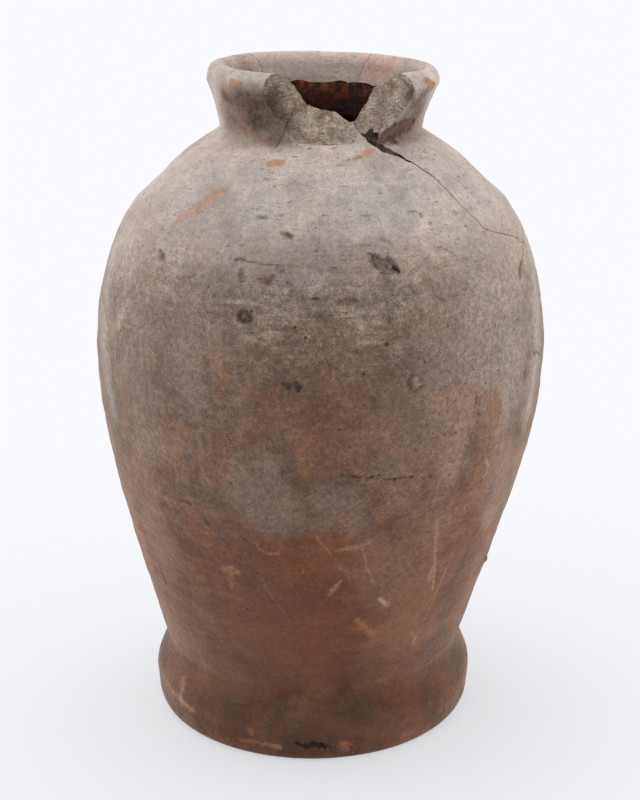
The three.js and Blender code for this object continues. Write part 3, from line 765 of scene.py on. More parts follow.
def hidden_marks():
    """Marks of the same kinds on the sides and the back, which the photograph doesn't show."""
    rng = np.random.default_rng(HIDDEN_SEED)
    for _ in range(HIDDEN_SPECKS):
        azimuth, height = rng.uniform(*HIDDEN_AZIMUTHS), rng.uniform(*HIDDEN_SPECK_HEIGHTS)
        spot = place(azimuth, outside_radius(height), height)[None]
        add_mark(spot, rng.uniform(0.7, 2.4) * MM, SOOT, 0.6, rng.uniform(0.2, 0.7), 0.3, 0.6)
    for _ in range(HIDDEN_SCRATCHES):
        azimuth, height = rng.uniform(*HIDDEN_AZIMUTHS), rng.uniform(*HIDDEN_HEIGHTS)
        turn, fall = rng.normal(0, 5), rng.normal(0, SCRATCH_FALL)
        steps = np.linspace(0, 1, 4)
        heights = np.clip(height + fall * steps, SCRATCH_LOWEST, SCRATCH_HIGHEST)
        path = place(azimuth + turn * steps, outside_radius(heights), heights)
        tint = SOOT if rng.random() < 0.4 else TAN
        add_mark(path, rng.uniform(0.5, 1.1) * MM, tint, 0.45, 0.2, 0.4, 0.9)
    for _ in range(HIDDEN_STAINS):
        azimuth, height = rng.uniform(*HIDDEN_AZIMUTHS), rng.uniform(*HIDDEN_HEIGHTS)
        turn = rng.normal(0, 4)
        path = place(azimuth + np.array([0, turn]), outside_radius(height), height)
        tint = (ORANGE, RUST, PINK, SOOT, BONE)[rng.integers(5)]
        add_mark(path, rng.uniform(3, 9) * MM, tint, rng.uniform(0.25, 0.55), 0.0, 0.8, 0.7)


# The turned clay


def new_mesh(name, places, faces, slots=None, materials=None):
    """An object from places and faces. The faces are rows of corners, all of one length."""
    mesh = bpy.data.meshes.new(name)
    faces = np.asarray(faces)
    count, size = faces.shape
    mesh.vertices.add(len(places))
    mesh.vertices.foreach_set("co", np.asarray(places, np.float32).ravel())
    mesh.loops.add(count * size)
    mesh.loops.foreach_set("vertex_index", faces.astype(np.int32).ravel())
    mesh.polygons.add(count)
    mesh.polygons.foreach_set("loop_start", np.arange(count, dtype=np.int32) * size)
    mesh.polygons.foreach_set("loop_total", np.full(count, size, np.int32))
    for material in materials or MATERIALS_IN_CUTS:
        mesh.materials.append(material)
    if slots is not None:
        mesh.polygons.foreach_set("material_index", np.asarray(slots, np.int32))
    mesh.update(calc_edges=True)
    made = bpy.data.objects.new(name, mesh)
    bpy.context.collection.objects.link(made)
    return made


def outward(places, faces):
    """The triangles, turned over if they face inwards."""
    a, b, c = (places[faces[:, i]] for i in range(3))
    return faces if np.einsum("ij,ij->", a, np.cross(b, c)) > 0 else faces[:, ::-1]


def band_faces(first, rings, size):
    """Triangles between rings of places that follow on each other from the first place."""
    around = np.arange(size)
    low = first + np.arange(rings - 1)[:, None] * size
    a, b = low + around, low + (around + 1) % size
    c, d = b + size, a + size
    return [np.stack(corners, -1).reshape(-1, 3) for corners in ((a, b, c), (a, c, d))]


def turned_mesh(line, azimuths):
    """(places, triangles, row of each place, azimuth of each) turned from a line that starts
    and ends on the axis."""
    count = len(azimuths)
    rings = place(azimuths[None, :], line[1:-1, :1], line[1:-1, 1:])
    places = np.concatenate([[(0, 0, line[0, 1])], rings.reshape(-1, 3), [(0, 0, line[-1, 1])]])
    around = np.arange(count)
    after = (around + 1) % count
    end = len(places) - 1
    top = end - count
    faces = np.concatenate([
        *band_faces(1, len(line) - 2, count),
        np.stack([np.zeros(count, int), 1 + after, 1 + around], 1),
        np.stack([top + around, top + after, np.full(count, end)], 1),
    ])
    row = np.r_[0, np.repeat(np.arange(1, len(line) - 1), count), len(line) - 1]
    angle = np.r_[0, np.tile(azimuths, len(line) - 2), 0]
    return places, outward(places, faces), row, angle


def azimuth_steps():
    front = np.arange(-FRONT_HALF, FRONT_HALF, FRONT_STEP)
    back = np.arange(FRONT_HALF, 360 - FRONT_HALF, BACK_STEP)
    return np.concatenate([front, back])


# The layers of relief: a height in millimetres, the size of the lumps, how many octaves of them,
# and whether they are drawn out round the jar, as throwing leaves them
RELIEF = [
    (0.26, 8 * MM, 2, True),
    (0.22, 24 * MM, 1, True),
    (0.6, 70 * MM, 1, False),
    (0.10, 6 * MM, 2, False),
    (0.06, 2.6 * MM, 1, False),
]
DRAWN_OUT = np.array([0.28, 0.28, 1])


def relief(places):
    """How far the turned surface stands out of its line, in metres."""
    out = np.zeros(len(places))
    for seed, (height, size, octaves, drawn_out) in enumerate(RELIEF, 1):
        out += height * noise(places * DRAWN_OUT if drawn_out else places, size, seed, octaves)
    return out * MM


def whole_clay():
    """The jar before it broke, as one closed mesh with its relief."""
    base = stepped(np.array([(0, 0), (REST_RADIUS, 0)]), 2 * INSIDE_STEP)
    outer = stepped(joined(OUTSIDE, LIP), OUTSIDE_STEP)
    neck_from = np.flatnonzero(INSIDE[:, 1] > SHOULDER)[0]
    deep = stepped(INSIDE[: neck_from + 1], INSIDE_STEP)
    near = stepped(INSIDE[neck_from:], NECK_STEP)
    line = joined(base, outer, near[::-1], deep[::-1])
    places, faces, row, angle = turned_mesh(line, azimuth_steps())
    normals = line_normals(line)
    push = relief(places) - mark_relief(places)
    push *= smooth(0, 5 * MM, places[:, 2]) * 0.85 + 0.15
    push[row < len(base)] = 0
    places += place(angle, normals[row, 0], normals[row, 1]) * push[:, None]
    places[:, 2] = np.maximum(places[:, 2], 0)
    return new_mesh("clay", settled(places), faces)


def glaze_edge(azimuth):
    """The height of the glaze's ragged upper edge."""
    around = place(azimuth, 45 * MM, 0 * azimuth)
    runs = noise(around, 14 * MM, 71) * 1.1 + np.abs(noise(around, 6 * MM, 72)) * 1.6
    return RIM - GLAZE_EDGE_DEPTH + runs * MM


def whole_glaze():
    """The glaze coat: a thin cup close to the inside, up to its ragged edge."""
    edge = (neck_inside_radius(RIM - GLAZE_EDGE_DEPTH), RIM - GLAZE_EDGE_DEPTH)
    skin = stepped(joined(INSIDE[:-1], [edge]), GLAZE_STEP)
    normals = -line_normals(skin)
    normals[0] = (0, 1)
    taper = smooth(0, GLAZE_TAPER, skin[-1, 1] - skin[:, 1])[:, None]
    back = skin - normals * 0.05 * MM
    front = skin + normals * (GLAZE_GAP + GLAZE * taper)
    back[0, 0] = front[0, 0] = 0
    line = np.concatenate([back, front[::-1]])
    places, faces, row, angle = turned_mesh(line, azimuth_steps())
    source = np.minimum(row, len(line) - 1 - row)
    height = skin[source, 1]
    out = place(angle, normals[source, 0], normals[source, 1])
    offset = np.einsum("ij,ij->i", line[row] - skin[source], normals[source])[:, None]
    places -= out * offset
    radius = np.hypot(places[:, 0], places[:, 1])
    share = np.clip((height - NECK) / (edge[1] - NECK), 0, 1)
    rise = share * (glaze_edge(angle) - edge[1])
    slope = (INNER_LIP_RADIUS - THROAT_RADIUS) / (LIP_CENTRE - NECK)
    grown = 1 + slope * rise / np.maximum(radius, MM)
    places[:, 0] *= grown
    places[:, 1] *= grown
    places[:, 2] += rise
    front_side = row > len(line) // 2
    runny = GLAZE_RUN_HEIGHT * noise(places, GLAZE_RUN_SIZE, 73, 2) * front_side * taper[source, 0]
    places += out * (offset[:, 0] + runny + relief(places))[:, None]
    return new_mesh("glaze", settled(places), faces)


# The cuts

# The lost piece's edge: azimuth and height in zones on the outside, then both on the inside
LOST_PIECE = [
    (-30, 5.6, -26, 5.6),
    (-28.9, 4.94, -24, 4.97),
    (-28.8, 4.67, -18.6, 4.83),
    (-27.7, 4.52, -13.5, 4.67),
    (-22.9, 4.38, -10, 4.53),
    (-17.4, 4.12, -5.1, 4.45),
    (-11.1, 4.01, 0.8, 4.42),
    (-0.4, 4.0, 6.5, 4.41),
    (8.7, 4.0, 11.5, 4.33),
    (17, 4.0, 18.2, 4.24),
    (23.2, 4.04, 22.6, 4.26),
    (28, 4.14, 25, 4.43),
    (35, 4.21, 28, 4.61),
    (43.4, 4.34, 30.4, 4.75),
    (50.7, 4.64, 35.6, 4.84),
    (48.3, 4.85, 42, 4.95),
    (48, 5.6, 44, 5.6),
]

# The runs of two joints that the photograph doesn't show, as azimuth and height in zones
RIGHT_JOINT_BEHIND = [
    (75.7, 2.758),
    (83.5, 2.639),
    (92, 2.6),
    (101, 2.68),
    (112, 2.83),
    (123, 2.95),
    (133, 3.24),
    (143, 3.55),
    (153, 3.9),
    (157, 4.3),
    (155, 4.6),
    (151, 4.85),
    (149, 5.4),
]
LEFT_JOINT_BEHIND = [
    (-26.5, 3.86),
    (-45, 3.89),
    (-62, 3.85),
    (-84, 3.9),
    (-106, 3.84),
    (-126, 3.9),
    (-140, 3.86),
    (-160, 3.9),
    (-180, 3.84),
    (-197, 3.89),
    (-212, 3.86),
]

# Joints, as azimuth, height in zones, the gap in millimetres, and the width in millimetres
# that is worn off the outside above the joint
RIGHT_JOINT = [
    (18, 4.62, 0.3, 0),
    (19, 4.34, 0.3, 0.6),
    (21.2, 4.21, 0.35, 2.6),
    (24, 4.1, 0.45, 5.0),
    (25.7, 4.03, 0.5, 6.0),
    (27.8, 3.972, 0.5, 6.0),
    (31, 3.9, 0.5, 5.2),
    (34.7, 3.857, 0.5, 3.6),
    (37.9, 3.823, 0.5, 2.0),
    (42, 3.74, 0.5, 0.6),
    (46.6, 3.593, 0.5, 0.3),
    (49.4, 3.374, 0.5, 0.2),
    (50.6, 3.2, 0.45, 0.1),
    (52.4, 3.0, 0.42, 0.1),
    (53.4, 2.95, 0.35, 0.1),
    (58.2, 2.915, 0.32, 0.1),
    (66.5, 2.859, 0.3, 0.1),
    *((azimuth, height, 0.28, 0.1) for azimuth, height in RIGHT_JOINT_BEHIND),
]
LEFT_JOINT = [
    (-8, 4.75, 0.2, 0),
    (-14, 4.56, 0.2, 0),
    (-17, 4.38, 0.22, 0),
    (-18.8, 4.23, 0.24, 0.1),
    (-22.2, 4.04, 0.24, 0.1),
    (-23.8, 3.9, 0.14, 0),
    *((azimuth, height, 0.08, 0) for azimuth, height in LEFT_JOINT_BEHIND),
]
BACK_JOINT = [
    (-141, 3.78, 0.2, 0),
    (-139, 4.1, 0.24, 0),
    (-141, 4.4, 0.34, 0),
    (-137, 4.7, 0.36, 0),
    (-132, 4.92, 0.36, 0),
    (-130, 5.4, 0.36, 0),
]
CUT_OUTSIDE = 3 * MM
CUT_INSIDE = 12 * MM
CHORD = 16 * MM
WORN_DEPTH = 2.6 * MM
# Worn widths in millimetres over which a joint's face takes the crack material: stain and painted shade
STAIN_AND_SHADE_OVER = 0.9
# How far a joint wanders to its sides, along it and through the wall, in millimetres
JOINT_WANDER = 0.45
JOINT_SWAY = 0.3
EDGE_STEP = 0.6 * MM
# The last of the shares from the inside to the outside that the broken face still has
PAST_OUTSIDE = 1.05
# The middle of the lost piece, as azimuth and height in zones, and how far out its space reaches
LOST_MIDDLE = 10
LOST_MIDDLE_HEIGHT = 4.9
LOST_REACH = 2.6 * RIM_RADIUS
JOINT_DEPTHS = [0.0, 0.1, 0.125, 0.145, 0.165, 0.19, 0.215, 0.24, 0.5, 1.0]


def joint_cut(name, rows, seed):
    """The thin cut of a joint, square to the wall, with a ragged run."""
    rows = np.array(rows, float)
    heights = height_of(rows[:, 1])
    skin = place(rows[:, 0], outside_radius(heights), heights)
    run = run_along(skin)
    at = np.linspace(0, run[-1], round(run[-1] / MM))
    columns = (rows[:, 0], heights, rows[:, 2], rows[:, 3])
    azimuth, height, gap, worn = (np.interp(at, run, column) for column in columns)
    low, high = height - CHORD / 2, height + CHORD / 2
    across = unit(np.stack([high - low, outside_radius(low) - outside_radius(high)], 1))
    radius = outside_radius(height)

    def ring(depth):
        return place(azimuth, radius + across[:, 0] * depth, height + across[:, 1] * depth)

    outer, inner = ring(CUT_OUTSIDE), ring(-WALL - CUT_INSIDE)
    side = unit(np.cross(np.gradient(outer, axis=0), outer - inner))
    wander = noise(ring(0), 5 * MM, seed, 3)[:, None] * JOINT_WANDER * MM
    left, right = [], []
    for depth in JOINT_DEPTHS:
        middle = outer + (inner - outer) * depth
        sway = wander + noise(middle, 4 * MM, seed + 1, 2)[:, None] * JOINT_SWAY * MM
        under = max(depth * np.linalg.norm(outer[0] - inner[0]) - CUT_OUTSIDE, 0)
        open_share = max(1 - under / WORN_DEPTH, 0)
        ragged = 1 + 0.3 * noise(middle, 3 * MM, seed + 2, 2)
        left.append(middle + side * (sway + gap[:, None] * MM / 2))
        right.append(middle + side * (sway - (gap / 2 + worn * open_share * ragged)[:, None] * MM))
    rings = np.stack([*left, *right[::-1]], 1)
    count, size = rings.shape[:2]
    faces, slots = [], []
    for i in range(count - 1):
        for j in range(size):
            a, b = i * size + j, i * size + (j + 1) % size
            d, c = a + size, b + size
            faces += [(a, b, c), (a, c, d)] if j < len(JOINT_DEPTHS) else [(a, b, d), (b, c, d)]
            slots += [2 if worn[i] > STAIN_AND_SHADE_OVER else 1] * 2
    last = (count - 1) * size
    for j in range(1, size - 1):
        faces += [(0, j + 1, j), (last, last + j, last + j + 1)]
    places = rings.reshape(-1, 3)
    faces = outward(places, np.array(faces))
    slots += [1] * (len(faces) - len(slots))
    return new_mesh(name, settled(places), faces, slots)


def lost_piece():
    """The space of the lost piece, with a rough broken edge that slopes down to the outside."""
    rows = np.array(LOST_PIECE, float)
    outer_height, inner_height = height_of(rows[:, 1]), height_of(rows[:, 3])
    outer = place(rows[:, 0], outside_radius(outer_height), outer_height)
    inner = place(rows[:, 2], neck_inside_radius(inner_height), inner_height)
    far = place(rows[:, 0], outside_radius(outer_height) + RIM_RADIUS, outer_height)
    run = run_along(outer)
    at = np.linspace(0, run[-1], round(run[-1] / EDGE_STEP))
    outer, inner, far = (points_at(at, run, line) for line in (outer, inner, far))
    face = unit(np.cross(np.gradient(outer, axis=0), outer - inner))
    rings = []
    shares = [*np.linspace(-0.5, PAST_OUTSIDE, 34), 1.3, 2.0]
    stride = np.array([1, 1, 0.6])
    for share in shares:
        spot = inner + (outer - inner) * min(share, PAST_OUTSIDE)
        if share > PAST_OUTSIDE:
            spot = outer + (far - outer) * (share - PAST_OUTSIDE)
        rough = 0.6 * noise(spot, 9 * MM, 61) + 0.6 * noise(spot * stride, 3.6 * MM, 62, 2)
        rough += 0.3 * noise(spot, 1.6 * MM, 63, 2) - 0.5 * np.abs(noise(spot, 5 * MM, 64))
        rough *= 0.3 + 0.7 * smooth(0, 0.3, share)
        rings.append(spot + face * rough[:, None] * MM)
    count, size = len(shares), len(at)
    apexes = place(LOST_MIDDLE, np.array([LOST_REACH, 0]), height_of(LOST_MIDDLE_HEIGHT))
    places = np.concatenate([*rings, apexes])
    around = np.arange(size)
    after = (around + 1) % size
    last = (count - 1) * size
    faces = np.concatenate([
        *band_faces(0, count, size),
        np.stack([last + around, last + after, np.full(size, count * size)], 1),
        np.stack([after, around, np.full(size, count * size + 1)], 1),
    ])
    faces = outward(places - places.mean(0), faces)
    return new_mesh("lost_piece", settled(places), faces, np.ones(len(faces)))


def cut_away(made, cutters):
    for cutter in cutters:
        step = made.modifiers.new("cut", "BOOLEAN")
        step.operation = "DIFFERENCE"
        step.solver = "MANIFOLD"
        step.material_mode = "INDEX"
        step.object = cutter
    bpy.context.view_layer.update()
    ready = made.evaluated_get(bpy.context.evaluated_depsgraph_get())
    mesh = bpy.data.meshes.new_from_object(ready)
    made.modifiers.clear()
    made.data = mesh
    return made


def mesh_arrays(mesh):
    """(places, triangles, the material slot of each)"""
    places = np.empty(len(mesh.vertices) * 3, np.float32)
    mesh.vertices.foreach_get("co", places)
    mesh.calc_loop_triangles()
    corners = np.empty(len(mesh.loop_triangles) * 3, np.int32)
    mesh.loop_triangles.foreach_get("vertices", corners)
    owners = np.empty(len(mesh.loop_triangles), np.int32)
    mesh.loop_triangles.foreach_get("polygon_index", owners)
    slots = np.empty(len(mesh.polygons), np.int32)
    mesh.polygons.foreach_get("material_index", slots)
    return places.reshape(-1, 3).astype(float), corners.reshape(-1, 3), slots[owners]


def loose_labels(count, faces):
    """The same number for all places that faces join."""
    label = np.arange(count)
    pairs = np.concatenate([faces[:, :2], faces[:, 1:]])
    while True:
        low = np.minimum(label[pairs[:, 0]], label[pairs[:, 1]])
        new = label.copy()
        np.minimum.at(new, label[pairs[:, 0]], low)
        np.minimum.at(new, label[pairs[:, 1]], low)
        new = new[new]
        new = new[new]
        if np.array_equal(new, label):
            return label
        label = new


def separated(made):
    """The loose parts, as (places, triangles, slots): the largest, then the others by azimuth."""
    places, faces, slots = mesh_arrays(made.data)
    bpy.data.objects.remove(made)
    label = loose_labels(len(places), faces)
    found = []
    names, sizes = np.unique(label[faces[:, 0]], return_counts=True)
    for name in names[np.argsort(-sizes)][:4]:
        chosen = label[faces[:, 0]] == name
        used, corners = np.unique(faces[chosen], return_inverse=True)
        part = places[used]
        middle = (part.min(0) + part.max(0)) / 2
        turn = math.atan2(middle[0], -middle[1]) % (2 * math.pi)
        found.append((turn, part, corners.reshape(-1, 3), slots[chosen]))
    largest, *others = found
    return [largest[1:], *(part[1:] for part in sorted(others, key=lambda part: part[0]))]


# Materials


class Graph:
    """Builds the nodes of one material. A value may be a number, a colour or a socket."""

    def __init__(self, name):
        self.material = bpy.data.materials.new(name)
        self.material.use_nodes = True
        self.tree = self.material.node_tree
        self.tree.nodes.clear()
        where = self.node("ShaderNodeTexCoord").outputs["Object"]
        self.place = self.vector("SCALE", where, scale=1 / MM)

    def put(self, socket, value):
        if isinstance(value, bpy.types.NodeSocket):
            self.tree.links.new(value, socket)
        elif isinstance(value, tuple) and socket.type == "RGBA":
            socket.default_value = (*value, 1)
        else:
            socket.default_value = value

    def node(self, kind, inputs=(), **settings):
        made = self.tree.nodes.new(kind)
        for key, value in settings.items():
            setattr(made, key, value)
        for key, value in dict(inputs).items():
            self.put(made.inputs[key], value)
        return made

    def vector(self, operation, a, b=(0, 0, 0), scale=None):
        made = self.node("ShaderNodeVectorMath", {0: a}, operation=operation)
        if scale is None:
            self.put(made.inputs[1], b)
        else:
            self.put(made.inputs["Scale"], scale)
        return made.outputs[0]

    def math(self, operation, a, b=0.0, clamp=False):
        made = self.node("ShaderNodeMath", {0: a, 1: b}, operation=operation, use_clamp=clamp)
        return made.outputs[0]

    def times(self, product, *values):
        for value in values:
            product = self.math("MULTIPLY", product, value)
        return product

    def plus(self, total, *values):
        for value in values:
            total = self.math("ADD", total, value)
        return total

    def raised(self, *layers):
        """A height in millimetres: the sum of values, each times its own height."""
        return self.plus(*(self.times(value, height) for value, height in layers))

    def height(self):
        """The height above the ground in millimetres."""
        return self.node("ShaderNodeSeparateXYZ", {0: self.place}).outputs[2]

    def spread(self, value, low, high, start=0.0, end=1.0):
        inputs = {"Value": value, "From Min": low, "From Max": high, "To Min": start, "To Max": end}
        made = self.node("ShaderNodeMapRange", inputs, interpolation_type="SMOOTHSTEP")
        return made.outputs["Result"]

    def mix(self, share, a, b, blend="MIX"):
        """Two colours mixed. The node's sockets 6 and 7 are its colours."""
        made = self.node("ShaderNodeMix", data_type="RGBA", blend_type=blend)
        for key, value in {0: share, 6: a, 7: b}.items():
            self.put(made.inputs[key], value)
        return made.outputs[2]

    def shifted(self, size, seed, stretch=(1, 1, 1)):
        moved = self.vector("ADD", self.place, (seed * 17.3, seed * 29.1, seed * 11.7))
        return self.vector("MULTIPLY", moved, tuple(s / size for s in stretch))

    def noise(self, size, seed=0, detail=2.0, rough=0.5, stretch=(1, 1, 1), warp=0.0):
        """Noise of about 0 to 1, with lumps of a size in millimetres."""
        inputs = {"Vector": self.shifted(size, seed, stretch), "Scale": 1.0, "Detail": detail,
                  "Roughness": rough, "Distortion": warp}
        return self.node("ShaderNodeTexNoise", inputs).outputs["Fac"]

    def specks(self, size, seed, share, reach):
        """Spots: a share of the cells of a size hold one, of a random width."""
        inputs = {"Vector": self.shifted(size, seed), "Scale": 1.0, "Randomness": 1.0}
        cells = self.node("ShaderNodeTexVoronoi", inputs)
        chance = self.node("ShaderNodeSeparateColor", {0: cells.outputs["Color"]})
        wide = self.math("MULTIPLY", self.spread(chance.outputs[0], 1 - share, 1.0), reach)
        inner = self.math("SUBTRACT", wide, cells.outputs["Distance"])
        return self.math("MULTIPLY", inner, 1 / (0.25 * reach), clamp=True)

    def attribute(self, name):
        return self.node("ShaderNodeAttribute", attribute_name=name)

    def ramp(self, value, stops):
        made = self.node("ShaderNodeValToRGB", {"Fac": value})
        bands = made.color_ramp.elements
        for i, (at, colour) in enumerate(stops):
            band = bands[i] if i < len(bands) else bands.new(at)
            band.position = at
            band.color = (*rgb(colour), 1)
        return made.outputs["Color"]

    def over(self, colour, share, strength, paint):
        """The colour with a paint of 0 to 255 over a share of it."""
        return self.mix(self.times(share, strength), colour, rgb(paint))

    def shade(self, colour, share):
        """The colour times a grey of that share."""
        grey = self.node("ShaderNodeCombineColor", {0: share, 1: share, 2: share}).outputs[0]
        return self.mix(1.0, colour, grey, "MULTIPLY")

    def tinted(self, colour, value, share, low, high):
        """The colour times a tint that goes from low to high with the noise value."""
        tint = self.mix(self.spread(value, 0.3, 0.7), low, high)
        return self.mix(share, colour, tint, "MULTIPLY")

    def finish(self, colour, roughness, height, level, coat=0.0, sheen=0.0, dust=(1, 1, 1)):
        """The height is in millimetres."""
        normal = self.node("ShaderNodeBump", {"Height": height, "Strength": 1.0, "Distance": MM})
        surface = self.node("ShaderNodeBsdfPrincipled", {
            "Base Color": colour,
            "Roughness": roughness,
            "Specular IOR Level": level,
            "Coat Weight": coat,
            "Coat Roughness": 0.06,
            "Sheen Weight": sheen,
            "Sheen Roughness": 0.4,
            "Sheen Tint": dust,
            "Normal": normal.outputs[0],
        })
        out = self.node("ShaderNodeOutputMaterial")
        self.tree.links.new(surface.outputs[0], out.inputs[0])
        return self.material


# The skin's colours from the ground up, by height in millimetres
SKIN_SHADES = [
    (0, (94, 56, 38)),
    (20, (95, 56, 38)),
    (38, (108, 64, 42)),
    (60, (112, 67, 41)),
    (90, (107, 63, 38)),
    (125, (106, 63, 38)),
    (150, (118, 78, 54)),
    (180, (108, 81, 64)),
    (210, (107, 83, 67)),
    (232, (114, 98, 86)),
    (250, (128, 113, 101)),
    (266, (158, 143, 132)),
    (282, (187, 171, 163)),
    (296, (202, 189, 181)),
    (318, (202, 188, 181)),
    (361, (200, 186, 176)),
]
TALL = 361.0
HOLE_COLOUR = (56, 42, 35)


def skin_ground(g, height, lower):
    """The clay's colours by height, mottled, under brown and grey patches."""
    sway = g.times(g.math("SUBTRACT", g.noise(60, 1), 0.5), 80.0)
    small_sway = g.times(g.math("SUBTRACT", g.noise(15, 2), 0.5), 44.0)
    sway = g.times(g.plus(sway, small_sway), g.spread(height, 296, 236, 0.4, 1.0))
    level = g.math("DIVIDE", g.plus(height, sway), TALL)
    colour = g.ramp(level, [(at / TALL, shade) for at, shade in SKIN_SHADES])
    low = g.spread(height, 285, 240, 0.3, 1.0)
    middle = g.times(lower, g.spread(height, 250, 290, 1.0, 0.3))
    colour = g.tinted(colour, g.noise(46, 3), low, (0.72, 0.78, 0.86), (1.32, 1.24, 1.12))
    colour = g.tinted(colour, g.noise(20, 4, 3, 0.55), low, (0.76, 0.77, 0.8), (1.24, 1.22, 1.18))
    colour = g.tinted(colour, g.noise(11, 25, 3, 0.55), middle, (0.78, 0.79, 0.82), (1.22, 1.2, 1.17))
    patches = g.times(g.spread(g.noise(25, 23, 3, 0.6), 0.5, 0.7), g.spread(height, 250, 215))
    colour = g.over(colour, patches, 0.34, (150, 104, 72))
    greys = g.times(g.spread(g.noise(28, 24, 3, 0.6), 0.5, 0.66), g.spread(height, 110, 150))
    colour = g.over(colour, greys, 0.3, (136, 124, 116))
    return g.tinted(colour, g.noise(6, 5, 3, 0.6), middle, (0.78, 0.79, 0.81), (1.21, 1.2, 1.18))


def skin_streaks(g, colour, height, fine, flecks, streaks):
    """Flecks, streaks and thin light threads round the jar, and brown runs down it."""
    colour = g.tinted(colour, flecks, fine, (0.76, 0.77, 0.78), (1.22, 1.22, 1.21))
    colour = g.tinted(colour, streaks, fine, (0.86, 0.87, 0.88), (1.13, 1.12, 1.11))
    threads = g.noise(1.3, 18, stretch=(0.03, 0.03, 1.0))
    threads = g.times(g.spread(threads, 0.6, 0.7), g.spread(g.noise(24, 19), 0.48, 0.6))
    threads = g.times(threads, g.spread(height, 190, 250, 0.12, 1.0))
    colour = g.over(colour, threads, 0.3, (206, 192, 178))
    runs = g.spread(g.noise(9, 12, 3, 0.6, stretch=(1.0, 1.0, 0.14)), 0.52, 0.68)
    runs = g.times(runs, g.spread(height, 110, 190), g.spread(height, 290, 250))
    return g.over(colour, runs, 0.35, (146, 112, 90))


def skin_grains(g, colour, height, fine, grain, clusters):
    """Grain with warm dark parts below the shoulder, dark pepper in clusters, and light grit."""
    colour = g.tinted(colour, grain, fine, (0.58, 0.58, 0.58), (1.36, 1.36, 1.36))
    colour = g.tinted(colour, grain, g.spread(height, 268, 244), (1.01, 0.96, 0.91), (0.99, 1.03, 1.08))
    busy = g.times(g.spread(clusters, 0.4, 0.6, 0.35, 1.0), fine)
    pepper = g.times(g.spread(g.noise(1.1, 8, 2, 0.6), 0.59, 0.66), busy)
    colour = g.over(colour, pepper, 0.6, (84, 66, 56))
    return g.over(colour, g.specks(3.4, 9, 0.25, 0.2), 0.22, (204, 186, 164))


def skin_holes(g, height, lower, clusters):
    """Small round pits of two sizes, in clusters."""
    holes = g.math("MAXIMUM", g.specks(5.2, 10, 0.6, 0.17), g.times(g.specks(2.5, 11, 0.4, 0.22), 0.8))
    holes = g.times(holes, g.spread(clusters, 0.34, 0.54, 0.3, 1.0), lower)
    return g.times(holes, g.spread(height, 252, 284, 1.0, 0.4))


def skin_painted(g, colour, height, fine, grain, flecks):
    """The marks' colours, grained like the skin, over its own."""
    paint = g.attribute("paint")
    cover = g.spread(g.noise(2.2, 14, 3, 0.65), 0.25, 0.75, -0.4, 0.25)
    cover = g.plus(g.times(cover, g.spread(height, 292, 304, 1.0, 0.3)), 1.0)
    cover = g.math("MULTIPLY", paint.outputs["Alpha"], cover, clamp=True)
    painted = g.tinted(paint.outputs["Color"], grain, fine, (0.72, 0.72, 0.72), (1.26, 1.26, 1.26))
    painted = g.tinted(painted, flecks, fine, (0.8, 0.81, 0.82), (1.18, 1.18, 1.17))
    return g.mix(cover, colour, painted)


def skin_material():
    g = Graph("stained clay")
    height = g.height()
    lower = g.spread(height, 60, 170, 0.5, 1.0)
    fine = g.times(lower, g.spread(height, 258, 288, 1.0, 0.46))
    grain = g.noise(0.9, 7, 3, 0.75)
    flecks = g.noise(2.8, 17, 3, 0.6)
    streaks = g.noise(3.0, 6, 3, 0.6, stretch=(0.1, 0.1, 1.0))
    clusters = g.noise(28, 20)
    holes = skin_holes(g, height, lower, clusters)
    dashes = g.spread(g.noise(1.7, 22, stretch=(0.3, 0.3, 1.0)), 0.65, 0.71)
    dashes = g.times(dashes, g.spread(height, 200, 250, 0.3, 1.0))
    colour = skin_ground(g, height, lower)
    colour = skin_streaks(g, colour, height, fine, flecks, streaks)
    colour = skin_grains(g, colour, height, fine, grain, clusters)
    colour = g.over(colour, holes, 0.8, HOLE_COLOUR)
    colour = g.over(colour, dashes, 0.42, (98, 84, 74))
    colour = skin_painted(g, colour, height, fine, grain, flecks)
    colour = g.over(colour, holes, 0.5, HOLE_COLOUR)
    colour = g.shade(colour, g.spread(g.attribute("sunk").outputs["Fac"], 0.2, 1.0, 1.0, 0.88))
    lumps = g.noise(2.4, 15, 3)
    rise = g.raised((grain, 0.24), (streaks, 0.3), (lumps, 0.32), (holes, -0.5), (dashes, -0.3))
    roughness = g.spread(g.noise(11, 16, 3), 0.3, 0.7, 0.62, 0.85)
    return g.finish(colour, roughness, rise, level=0.26, sheen=0.55, dust=rgb((255, 229, 208)))


